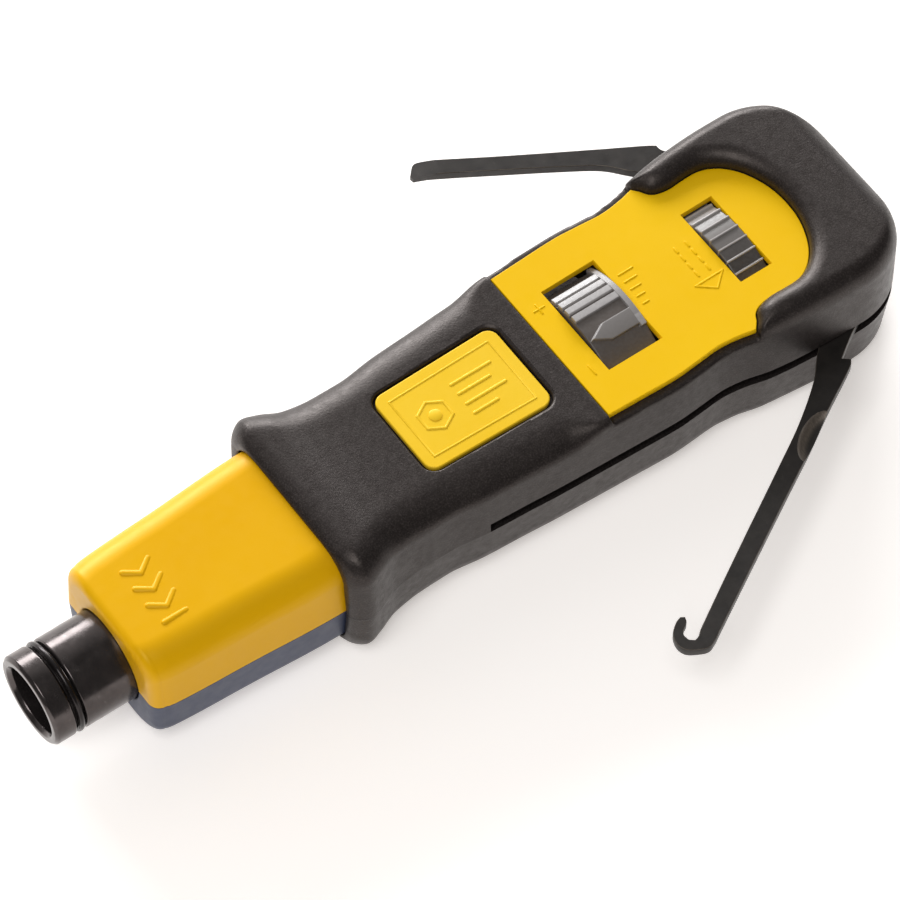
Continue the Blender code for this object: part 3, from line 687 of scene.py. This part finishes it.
def handle_shell(name, top):
    ring = upper_ring if top else lower_ring
    body = loft(name, [ring(x) for x in stations()])
    # the mouth is deeper than the head's stroke, so that the head clears its eased inner corners
    tools = [channel("mouth", 0.14, 30.0, 47.9, HEAD_TOP_REAR, HEAD_BOT, 12.1, 0.45),
             channel("throat", 0.35, 47.5, 50.6, 7.3, -7.2, 9.4),
             channel("run", 0.35, 49.4, 59.31, 8.1, -8.0, 10.2),
             cyl("bed", "x", (0, 0), 7.3, 58.0, 83.9, 48),
             cyl("bush", "x", (0, 0), 4.3, 83.0, 97.5, 32),
             cyl("rear", "x", (0, 0), 3.8, 97.0, 116.2, 32)]
    if top:
        tools += [pocket_cutter(0.10),
                  box("win", DIAL_WIN[0] - 0.1, DIAL_WIN[1] + 0.1, -9.9, 9.9, 2.0, 20.0),
                  box("win", REL_WIN[0] - 0.1, REL_WIN[1] + 0.1, -9.6, 9.6, 2.0, 20.0),
                  box("well", 83.9, 93.0, -11.5, 11.5, -2.0, 8.6),
                  box("well", 105.7, 111.4, -11.5, 11.5, -2.0, 8.6)]
    else:
        tools += [box("well", 83.9, 93.0, -11.5, 11.5, -8.2, 2.0),
                  box("well", 105.7, 111.4, -11.5, 11.5, -8.2, 2.0)]
    for x, y in SCREWS:
        tools.append(cyl("hole", "z", (x, y), 1.4, -20.0, 6.2 if top else 0.5, 24))
    for x, y in (HOOK_PIVOT, SPUD_PIVOT):
        tools.append(cyl("hole", "z", (x, y), PIN_R + 0.2, -4.3, 5.3, 24))
    cut(body, tools)
    remesh(body, 0.25, 4, 0.5)
    # the parting faces, the slots, the badge's recess and the screw seats keep crisp edges
    part = box("part", 30.0, 140.0, -30.0, 30.0, -5.0, 0.04) if top else box("part", 30.0, 140.0, -30.0, 30.0, -0.04, 5.0)
    cut(body, [part])
    if top:
        rec = smooth_outline(badge_outline(0.34), 60, 2)
        tools = [slot_cutter("slot", 1, -2.0, SLOT_TOP), slot_cutter("slot", -1, -2.0, SLOT_TOP),
                 loft("recess", [[(x, y, 9.05) for x, y in rec], [(x, y, 9.80) for x, y in rec],
                                 [(x, y, 9.94) for x, y in offset(rec, 0.05)],
                                 [(x, y, 10.06) for x, y in offset(rec, 0.17)],
                                 [(x, y, 10.20) for x, y in offset(rec, 0.42)],
                                 [(x, y, 20.0) for x, y in offset(rec, 0.46)]])]
    else:
        tools = [turned("seat", [(-20, 0), (-20, 3.2), (-10.01, 2.75), (-9.75, 2.5), (-7.33, 2.45), (-7.33, 0)],
                        48, "z", (x, y)) for x, y in SCREWS]
    return cut(body, tools)


def badge_outline(grow, n=6):
    x0, x1, w0, w1 = BADGE
    pts = []
    r = 1.6 + grow
    for cx, w, a0 in ((x1, w1, 0), (x0, w0, 90), (x0, -w0, 180), (x1, -w1, 270)):
        sx = -1 if cx == x1 else 1
        sy = -1 if w > 0 else 1
        for i in range(n + 1):
            a = math.radians(a0 + 90 * i / n)
            pts.append((cx + sx * 1.6 + r * math.cos(a), w + sy * 1.6 + r * math.sin(a)))
    return pts


ob = handle_shell("handle_upper_skin", True)
settle(ob, "handle", RUBBER, ["handle_upper_shell"], 48)
ob = handle_shell("handle_lower_skin", False)
settle(ob, "handle", RUBBER, ["handle_lower_shell"], 48)


# ------------------------------------------------------------- plate and badge
def flared_window(x0, x1, w, e=0.12):
    """Window cutter that eases the plate's upper edge."""
    def r(g, z):
        return [(x0 - g, -w - g, z), (x1 + g, -w - g, z), (x1 + g, w + g, z), (x0 - g, w + g, z)]
    zt = plate_top((x0 + x1) / 2)
    return loft("win", [r(0, 0.0), r(0, zt - e * 1.6), r(e * 0.4, zt - e * 0.4), r(e * 1.3, zt + 0.12),
                        r(e * 1.3, 20.0)])


ob = slab("top_plate_skin", plate_outline(), -PLATE_T, 0.0, 0.13, 3, 0.05, plate_top)
cut(ob, [flared_window(*DIAL_WIN), flared_window(*REL_WIN)])
marks = []
Z = lambda x: plate_top(x)
W, H = 0.34, 0.15
# Turn arrow by the release wheel, with a short shaft of dashes.
marks += bead([(105.3, -3.6), (103.1, -5.5), (100.9, -3.6), (105.3, -3.6)], W, H, 0.0, Z)
for y0 in (-2.6, -1.1, 0.4, 1.9):
    marks += bead([(102.2, y0), (102.2, y0 + 0.85)], 0.42, H, 0.0, Z)
    marks += bead([(104.0, y0), (104.0, y0 + 0.85)], 0.42, H, 0.0, Z)
# Strength bars behind the dial, plus and minus in front of it.
for k, L in enumerate((2.2, 1.85, 1.5, 1.15, 0.8)):
    y0 = 3.6 - 1.35 * k
    marks += bead([(93.9, y0), (93.9 + L, y0)], 0.36, H, 0.0, Z)
marks += bead([(81.7, 5.4), (83.3, 5.4)], W, H, 0.0, Z)
marks += bead([(82.5, 4.6), (82.5, 6.2)], W, H, 0.0, Z)
marks += bead([(82.5, -6.9), (82.5, -5.3)], W, H, 0.0, Z)
cut(ob, marks, "UNION")
settle(ob, "handle", YELLOW_PLATE, ["top_plate"], 40)

ob = slab("badge_skin", badge_outline(0.0), 9.35, 10.05, 0.22, 4, 0.05)
marks = []
fr = [(58.6, -5.0), (74.3, -5.3), (74.3, 5.3), (58.6, 5.0), (58.6, -5.0)]
marks += bead(fr, 0.34, 0.14, 10.05)
# Plain hexagon with a spot in it, and ruled lines.
hexa = [(62.3 + 2.3 * math.cos(math.radians(60 * k + 30)), 2.3 * math.sin(math.radians(60 * k + 30))) for k in range(7)]
marks += bead(hexa, 0.46, 0.17, 10.05)
for y, x0, x1 in ((2.6, 66.6, 72.6), (0.9, 66.6, 71.4), (-0.9, 66.6, 72.6), (-2.6, 66.6, 70.2)):
    marks += bead([(x0, y), (x1, y)], 0.6, 0.17, 10.05)
cut(ob, marks, "UNION")
spot = turned("spot", [(9.9, 0.0), (9.9, 0.95), (10.12, 0.9), (10.2, 0.7), (10.22, 0.0)], 32, "z", (62.3, 0.0))
cut(ob, [spot], "UNION")
settle(ob, "handle", YELLOW_BADGE, ["badge_plate"], 40)


# ------------------------------------------------------------------ head shells
def head_ring(x, top, base=0.04):
    w = lookup(HEAD_SIDE, x)
    if x < 13.6:
        s = 1 - (x - 12.0) / 1.6
        w = lookup(HEAD_SIDE, 13.6) - 1.75 * (1 - math.sqrt(max(0.0, 1 - s * s)))
    e = 1.2 if top else 1.9
    s = max(0.0, 1 - (x - 12.0) / e)
    drop = e * 0.95 * (1 - math.sqrt(max(0.0, 1 - s * s)))
    h = (head_top(x) if top else -HEAD_BOT) - drop
    ry, rz = (4.6, 3.8) if top else (4.2, 3.4)
    return [(x, y, z if top else -z) for y, z in over(w, w - 0.45, base, h, min(ry, w - 2), rz, 24)]


def neck_ring(x, w, h, top):
    return [(x, y, z if top else -z) for y, z in over(w, w, 0.04, h, 3.0, 3.0, 12)]


def head_shell(name, top):
    xs = [12.0 + 1.6 * (1 - math.cos(math.radians(a))) for a in np.linspace(0, 90, 18)]
    xs += list(np.linspace(14.0, NECK_X, 34))
    body = loft(name, [head_ring(x, top) for x in xs])
    neck = loft("neck", [neck_ring(x, w, h, top) for x, w, h in
                         ((39.0, 9.4, 7.25), (49.5, 9.4, 7.25), (49.6, 10.2, 8.0), (HEAD_X1, 10.2, 8.0))])
    cut(body, [neck], "UNION")
    tools = [turned("front", [(10.0, 0.0), (10.0, 6.75), (11.98, 6.75), (12.1, 6.56), (12.35, 6.48),
                              (31.6, 6.48), (31.6, 0.0)], 128),
             cyl("shoulder", "x", (0, 0), 7.7, 15.9, 18.9, 96),
             cyl("pass", "x", (0, 0), 3.95, 20.0, 60.0, 48),
             cyl("pocket", "x", (0, 0), 6.2, 44.0, 60.0, 48)]
    for p in HEAD_SCREWS:
        tools.append(cyl("hole", "z", p, 1.25, -20.0, 5.6, 24))
        if not top:
            tools.append(turned("seat", [(-20, 0), (-20, 2.6), (-8.72, 2.4), (-8.5, 2.12), (-6.9, 2.1), (-6.9, 0)],
                                48, "z", p))
    cut(body, tools)
    if top:
        marks = []
        # Blade-end sign: a cutting edge and two chevrons, raised.
        marks += bead([(17.6, -4.9), (20.8, -4.9)], 0.95, 0.34, 9.0)
        marks += bead([(17.3, -1.7), (19.2, -3.1), (21.1, -1.7)], 0.95, 0.34, 9.0)
        marks += bead([(17.3, 1.2), (19.2, -0.2), (21.1, 1.2)], 0.95, 0.34, 9.0)
        marks += bead([(17.3, 4.1), (19.2, 2.7), (21.1, 4.1)], 0.95, 0.34, 9.0)
        cut(body, marks, "UNION")
    return body


ob = head_shell("head_upper_skin", True)
settle(ob, "head", YELLOW_HEAD, ["head_upper_shell"], 32)
ob = head_shell("head_lower_skin", False)
settle(ob, "head", SLATE, ["head_lower_shell"], 32)

# --------------------------------------------------------------- nozzle and lock
NR, BR = 6.4, 4.8
profile = [(0.0, 5.15), (0.0, 5.98), (0.42, NR), (2.95, NR), (3.1, 6.12), (3.22, 5.7), (4.55, 5.7), (4.62, 6.2), (4.8, NR), (16.2, NR),
           (16.2, 7.4), (18.6, 7.4), (18.6, NR), (25.6, NR), (25.6, 3.3), (24.0, 3.3),
           (24.0, BR), (0.6, BR)]
ob = turned("nozzle_skin", rounded_profile(profile, 0.13, 4), 160)
settle(ob, "head", GUN, ["nozzle_tube"], 40)
ob = turned("nozzle_ring_skin", [(3.92 + 0.40 * math.cos(a), 6.10 + 0.37 * math.sin(a))
                                 for a in (2 * math.pi * k / 16 for k in range(16))], 128)
settle(ob, "head", RING, ["nozzle_ring"], 180)

lock = turned("blade_lock_skin", rounded_profile([(17.0, 1.65), (17.0, 4.5), (22.0, 4.5), (22.0, 2.4),
                                                  (36.0, 2.4), (36.0, 1.65)], 0.12, 3), 96)
cut(lock, [box("slot", 16.5, 19.5, -3.6, 3.6, -1.3, 1.3)])
settle(lock, "lock", STEEL, ["blade_lock"], 35)


# ------------------------------------------------------------------ the wheels
def smooth01(t):
    t = np.clip(t, 0.0, 1.0)
    return t * t * (3 - 2 * t)


def wheel_skin(name, x0, x1, sector, height, hub_r, nx, nt, painted_light):
    """A partial wheel whose rim height is a fine field over x and angle."""
    xs = np.linspace(x0, x1, nx)
    th = np.linspace(sector[0], sector[1], nt)
    X, T = np.meshgrid(xs, th, indexing="ij")
    R = height(X, T)
    verts, faces, painted_light_values = [], [], []

    def add(x, r, t, v):
        a = math.radians(t)
        verts.append((x, -r * math.sin(a), r * math.cos(a)))
        painted_light_values.append(v)
        return len(verts) - 1

    # painted light and shade value for each vertex, stored as a mesh attribute for the wheel material
    L = painted_light(X, T, R)
    grid = [[add(xs[i], R[i, j], th[j], L[i, j]) for j in range(nt)] for i in range(nx)]
    for i in range(nx - 1):
        for j in range(nt - 1):
            faces.append((grid[i][j], grid[i + 1][j], grid[i + 1][j + 1], grid[i][j + 1]))
    # side walls down to the web, and the hub behind the sector
    low = 0.0
    ends = []
    for i in (0, nx - 1):
        inner = [add(xs[i], 9.0, th[j], low) for j in range(nt)]
        rim = grid[i]
        for j in range(nt - 1):
            faces.append((rim[j], rim[j + 1], inner[j + 1], inner[j]))
        m = 40
        hub = [add(xs[i], hub_r, sector[1] + (360 - (sector[1] - sector[0])) * k / m, low) for k in range(m + 1)]
        loop = inner + hub
        faces.append(tuple(loop) if i == 0 else tuple(reversed(loop)))
        ends.append((inner, hub))
    (in0, hub0), (in1, hub1) = ends
    for k in range(len(hub0) - 1):
        faces.append((hub0[k], hub0[k + 1], hub1[k + 1], hub1[k]))
    for j, hub_i in ((0, -1), (nt - 1, 0)):
        col = [grid[i][j] for i in range(nx)]
        a0, a1 = (in0[j], in1[j])
        h0, h1 = hub0[hub_i], hub1[hub_i]
        faces.append(tuple([a0] + col + [a1, h1, h0]))
    mesh = bpy.data.meshes.new(name)
    mesh.from_pydata(verts, [], faces)
    att = mesh.attributes.new("painted_light", "FLOAT", "POINT")
    att.data.foreach_set("value", np.array(painted_light_values, np.float32))
    bm = bmesh.new()
    bm.from_mesh(mesh)
    bmesh.ops.recalc_face_normals(bm, faces=bm.faces)
    bm.to_mesh(mesh)
    bm.free()
    ob = bpy.data.objects.new(name, mesh)
    bpy.context.scene.collection.objects.link(ob)
    return ob


DX0, DX1 = DIAL_WIN[0] + 0.2, DIAL_WIN[1] - 0.2
BARS = (-26.5, -19.0, -11.5, -4.0)
ARROW_T = 14.6


def dial_height(X, T):
    base = 11.15
    s = T * math.pi / 180 * 11.3
    r = np.full_like(X, base)
    for c in BARS:
        d = np.abs(s - c * math.pi / 180 * 11.3)
        f = smooth01((0.60 - d) / 0.14)
        f *= smooth01((X - DX0 - 0.05) / 0.12)
        r = np.maximum(r, base + 0.55 * f - 0.10 * f * (s - c * math.pi / 180 * 11.3 + 0.4))
    # arrow: body to the rear rim, shoulders at 87.2, tip at the front edge
    sc = ARROW_T * math.pi / 180 * 11.3
    half = 1.38
    body = half - np.abs(s - sc)
    tipx, shoulder = DX0 + 0.15, 87.25
    slope = half / (shoulder - tipx)
    tip = ((X - tipx) * slope - np.abs(s - sc)) / math.sqrt(1 + slope * slope)
    d = np.minimum(body, tip)
    f = smooth01(d / 0.22)
    r = np.maximum(r, base + 0.55 * f)
    # recessed field beyond the arrow, with fine steps
    rec = smooth01((s - (sc + half + 0.25)) / 0.15)
    steps = 10.62 + 0.10 * smooth01(0.5 + 1.6 * np.sin((X - DX0) * 5.6))
    r = r - rec * (r - steps) * (X < DX1 - 0.42)
    # rear rim, ending at the arrow's far side
    f = smooth01((X - (DX1 - 0.92)) / 0.12) * (1 - smooth01((s - (sc + half + 0.25)) / 0.15))
    r = np.maximum(r, base + (0.55) * f)
    # eased outer corners
    e = 0.12
    for d in (X - DX0, DX1 - X):
        r -= 0.10 * (1 - smooth01(d / e))
    return r


def dial_painted_light(X, T, R):
    # Painted light and shade per vertex, by height: ribs, rim and arrow lighter as a painted highlight (weaker on the
    # arrow and on the rim before it), grooves and the recessed field darker as painted shade.
    v = np.clip((R - 11.15) / 0.5, 0.0, 1.0) * 0.95
    s = T * math.pi / 180 * 11.3
    sc = ARROW_T * math.pi / 180 * 11.3
    arrow = (np.abs(s - sc) < 1.5) & (X < DX1 - 0.9)
    v = np.where(arrow, v * 0.40, v)
    # painted highlight along the arrow's leading edges, where they catch the light
    tipx, shoulder = DX0 + 0.15, 87.25
    slope = 1.38 / (shoulder - tipx)
    edge = np.minimum(1.38 - np.abs(s - sc), ((X - tipx) * slope - np.abs(s - sc)) / math.sqrt(1 + slope * slope))
    v = np.where((X > DX1 - 0.95) & (s < sc), v * 0.62, v)
    v = np.where(arrow & (s < sc) & (edge > 0.02) & (edge < 0.30), 0.85, v)
    v = np.where(R < 11.0, 0.24, v)
    return v


dial = wheel_skin("impact_dial_skin", DX0, DX1, (-40.0, 71.0), dial_height, 7.0, 150, 420, dial_painted_light)
hub = cyl("hub", "x", (0, 0), 3.4, DX0 - 1.1, 97.0, 64)
cut(dial, [hub], "UNION")
cut(dial, [cyl("bore", "x", (0, 0), 1.8, 70.0, 110.0, 48)])
settle(dial, "dial", DIAL_GREY, ["impact_dial"], 50)

RIDGES = (-50, -40.5, -31, -21.5, -12, -2.5, 7, 16.5, 26)
WX0, WX1 = REL_WIN[0] + 0.2, REL_WIN[1] - 0.2


def wheel_height(X, T):
    s = T * math.pi / 180 * 11.4
    r = np.full_like(X, 11.28)
    for c in RIDGES:
        d = s - c * math.pi / 180 * 11.4
        up = smooth01((0.22 - np.abs(d)) / 0.14)
        r = np.maximum(r, 11.28 + 0.34 * up)
        dip = np.clip(1 - np.abs(d - 0.62) / 0.4, 0, 1)
        r -= 0.03 * dip
    for d in (X - WX0, WX1 - X):
        r -= 0.08 * (1 - smooth01(d / 0.12))
    return r


def wheel_painted_light(X, T, R):
    # Painted light and shade per vertex: ridges lighter as a painted highlight, flats painted lighter towards +Y and
    # darker towards -Y as the light falls.
    s = T * math.pi / 180 * 11.4
    v = np.clip((R - 11.3) / 0.25, 0.0, 1.0)
    painted_light_gradient = np.interp(s, [-9, -5, -2, 1, 3.5, 5.5], [0.60, 0.55, 0.34, 0.20, 0.04, 0.0])
    return np.clip(np.maximum(v * 0.95, painted_light_gradient), 0, 1)


wheel = wheel_skin("release_wheel_skin", WX0, WX1, (-58.0, 34.0), wheel_height, 6.0, 90, 420, wheel_painted_light)
cut(wheel, [cyl("bore", "x", (0, 0), 1.8, 100.0, 118.0, 48)])
settle(wheel, "release", WHEEL_GREY, ["release_wheel"], 50)

# ------------------------------------------------------------------------ arms
HOOK = [(117.4, -16.5), (113.6, -19.0), (114.5, -19.8), (113.9, -20.5), (107.4, -24.2),
        (101.5, -27.8), (95.7, -31.1), (81.6, -39.2), (75.9, -42.5), (74.6, -43.25), (73.3, -43.7),
        (71.8, -43.1), (70.7, -42.3), (70.3, -41.3), (70.4, -40.3), (70.9, -39.3), (72.2, -38.3),
        (73.0, -38.05), (73.5, -38.4), (73.2, -39.1), (72.3, -39.7), (71.8, -40.4), (71.9, -41.3),
        (72.5, -41.8), (73.2, -41.6), (73.9, -41.0), (85.4, -34.1), (97.0, -27.3), (102.8, -23.8),
        (108.5, -19.6), (111.5, -16.5)]
SPUDGER = [(109.5, 20.6), (106.5, 23.9), (101.9, 27.0), (95.1, 31.2), (87.0, 36.1), (85.0, 37.0),
           (84.9, 37.6), (86.1, 38.8), (86.7, 38.9), (88.4, 38.0), (96.4, 33.1), (107.9, 26.3), (113.4, 23.1),
           (114.4, 22.4), (114.6, 21.3), (117.8, 17.6)]


def arm(name, edge, pivot, start, end, grinds, corner):
    root = circle(pivot[0], pivot[1], 3.0, 24, start, end)
    line = smooth_outline(edge + root, corner, 6)
    ob = slab(name, line, 0.2, 1.6, 0.11, 3)
    cut(ob, [cyl("eye", "z", pivot, PIN_R + 0.12, -2, 4, 48)] + grinds)
    return ob


def grinder(cx, cy, z, half, direction):
    """A lens that scoops a ground hollow out of an arm's edge."""
    ball = [(math.cos(math.pi * k / 48), max(math.sin(math.pi * k / 48), 0.0)) for k in range(49)]
    ball[0], ball[-1] = (1.0, 0.0), (-1.0, 0.0)
    g = turned("grind", ball, 96)
    g.data.transform(Matrix.Translation((cx, cy, z)) @ Matrix.Rotation(direction, 4, "Z")
                     @ Matrix.Diagonal((*half, 1.0)))
    return g


edge_dir = math.atan2(-24.2 + 27.8, 107.4 - 101.5)
ob = arm("hook_arm_skin", HOOK, HOOK_PIVOT, 130.0, -45.0,
         [grinder(103.5, -26.75, 1.95, (4.4, 2.3, 1.35), edge_dir)], 42)
settle(ob, "hook", ARM, ["hook_arm"], 30)

sp_dir = math.atan2(26.3 - 38.0, 107.9 - 88.4)
bevel = box("bevel", -6.0, 2.2, -6.0, 6.0, 0.0, 3.0)
bevel.data.transform(Matrix.Translation((86.9, 37.2, 1.30)) @ Matrix.Rotation(sp_dir, 4, "Z")
                     @ Matrix.Rotation(math.radians(-9.0), 4, "Y"))
ob = arm("spudger_arm_skin", SPUDGER, SPUD_PIVOT, 45.0, -130.0, [bevel], 42)
settle(ob, "spudger", ARM, ["spudger_arm"], 30)


# --------------------------------------------------------------- pins and screws
def cross_recess(x, y, z, size, deep):
    out = []
    for sx, sy in ((size, size * 0.28), (size * 0.28, size)):
        rings = [[(x + a * sx * k, y + b * sy * k, z + d) for a, b in ((-1, -1), (1, -1), (1, 1), (-1, 1))]
                 for k, d in ((1.12, -1.0), (1.0, 0.0), (0.62, deep))]
        out.append(loft("cross", rings))
    return out


def screw(name, x, y, body, node, head_z, r, shank, top):
    p = [(head_z + 0.10, 0.0), (head_z + 0.10, r * 0.45), (head_z + 0.22, r * 0.72), (head_z + 0.5, r * 0.92),
         (head_z + 0.9, r), (head_z + 1.55, r), (head_z + 1.6, r - 0.08), (head_z + 1.6, shank)]
    z = head_z + 2.0
    while z < top - 1.2:
        p += [(z, shank), (z + 0.22, shank - 0.18), (z + 0.44, shank)]
        z += 0.66
    p += [(top - 0.5, shank), (top, 0.25), (top + 0.02, 0.0)]
    ob = turned(name, p, 48, "z", (x, y))
    cut(ob, cross_recess(x, y, head_z + 0.1, r * 0.55, 0.95))
    settle(ob, body, SCREW, [node], 35)


for i, (x, y) in enumerate(SCREWS):
    screw("shell_screw_%d_skin" % (i + 1), x, y, "handle", "shell_screw_%d" % (i + 1), -9.3, 2.12, 1.05, 5.75)
for i, (x, y) in enumerate(HEAD_SCREWS):
    screw("head_screw_%d_skin" % (i + 1), x, y, "head", "head_screw_%d" % (i + 1), -8.45, 1.72, 0.95, 5.15)
for name, (x, y) in (("hook_pivot_pin", HOOK_PIVOT), ("spudger_pivot_pin", SPUD_PIVOT)):
    ob = turned(name + "_skin", rounded_profile([(-4.0, 0.0), (-4.0, PIN_R), (5.0, PIN_R), (5.0, 0.0)], 0.2, 4),
                64, "z", (x, y))
    settle(ob, "handle", PIN, [name], 35)

# ------------------------------------------- carried-over mechanism, new finishes
FINISH = {"drive_tube": STEEL, "guide_sleeve": STEEL, "hammer": STEEL, "trip_block": STEEL, "trip_cam": STEEL,
          "release_rod": STEEL, "trip_spring": SPRING, "main_spring": SPRING, "return_spring": SPRING,
          "release_spring": SPRING, "spring_seat": BRASS, "dial_bush": BRASS, "rod_bush": BRASS}
for node, mat in FINISH.items():
    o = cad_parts[node]
    if not o.data.materials:
        o.data.materials.append(mat)
    for s in o.material_slots:
        s.material = mat

# ---------------------------------------------------------------- floor and light
floor_mat = Mat("pale_floor", 0.85, spec=0.05)
floor_mat.colour(floor_mat.mix(floor_mat.noise(6, 3), (0.93, 0.915, 0.90), (0.95, 0.935, 0.92)))
floor_mat.p.inputs["Emission Color"].default_value = (1.0, 0.94, 0.90, 1.0)
floor_mat.p.inputs["Emission Strength"].default_value = 0.44
mesh = bpy.data.meshes.new("floor")
mesh.from_pydata([(-3, -3, 0), (3, -3, 0), (3, 3, 0), (-3, 3, 0)], [], [(0, 1, 2, 3)])
floor = bpy.data.objects.new("floor", mesh)
bpy.context.scene.collection.objects.link(floor)
floor.location.z = -0.0002
floor.data.materials.append(floor_mat.m)

world = bpy.data.worlds.new("studio")
bpy.context.scene.world = world
world.use_nodes = True
wt = world.node_tree
bg = wt.nodes["Background"]
bg.inputs["Color"].default_value = (1.0, 0.99, 0.98, 1.0)
# brighter behind the object than in front of it, like a wall lit by the softboxes
where = wt.nodes.new("ShaderNodeTexCoord")
dot = wt.nodes.new("ShaderNodeVectorMath")
dot.operation = "DOT_PRODUCT"
dot.inputs[1].default_value = (0.25, 0.90, 0.36)
fade = wt.nodes.new("ShaderNodeMapRange")
for key, value in (("From Min", 0.45), ("From Max", 1.0), ("To Min", 0.12), ("To Max", 0.85)):
    fade.inputs[key].default_value = value
wt.links.new(where.outputs["Generated"], dot.inputs[0])
wt.links.new(dot.outputs["Value"], fade.inputs["Value"])
wt.links.new(fade.outputs["Result"], bg.inputs["Strength"])


def lamp(name, where, target, size, power, colour=(1, 1, 1), size_y=None):
    data = bpy.data.lights.new(name, "AREA")
    data.shape = "RECTANGLE"
    data.size = size
    data.size_y = size_y or size
    data.energy = power
    data.color = colour
    ob = bpy.data.objects.new(name, data)
    bpy.context.scene.collection.objects.link(ob)
    ob.location = where
    ob.rotation_euler = (Vector(target) - Vector(where)).to_track_quat("-Z", "Y").to_euler()
    return ob


lamp("overhead", (-0.40, -0.24, 0.88), (0, 0, 0), 0.5, 4.4, (1.0, 0.995, 0.985), 0.6)
lamp("back", (0.30, 0.88, 0.38), (0, 0, 0.01), 1.0, 13.0, (0.985, 0.99, 1.0), 0.34)

cam_data = bpy.data.cameras.new("camera")
cam = bpy.data.objects.new("camera", cam_data)
bpy.context.scene.collection.objects.link(cam)
cam_data.sensor_width = 36.0
cam_data.lens = 203.29
cam_data.clip_start, cam_data.clip_end = 0.01, 10.0
cam.location = (-0.205761, -0.287521, 0.560939)
cam.rotation_euler = (math.radians(32.662), 0.0, math.radians(-35.534))
bpy.context.scene.camera = cam
bpy.context.scene.view_settings.view_transform = "Standard"
bpy.context.scene.view_settings.look = "None"
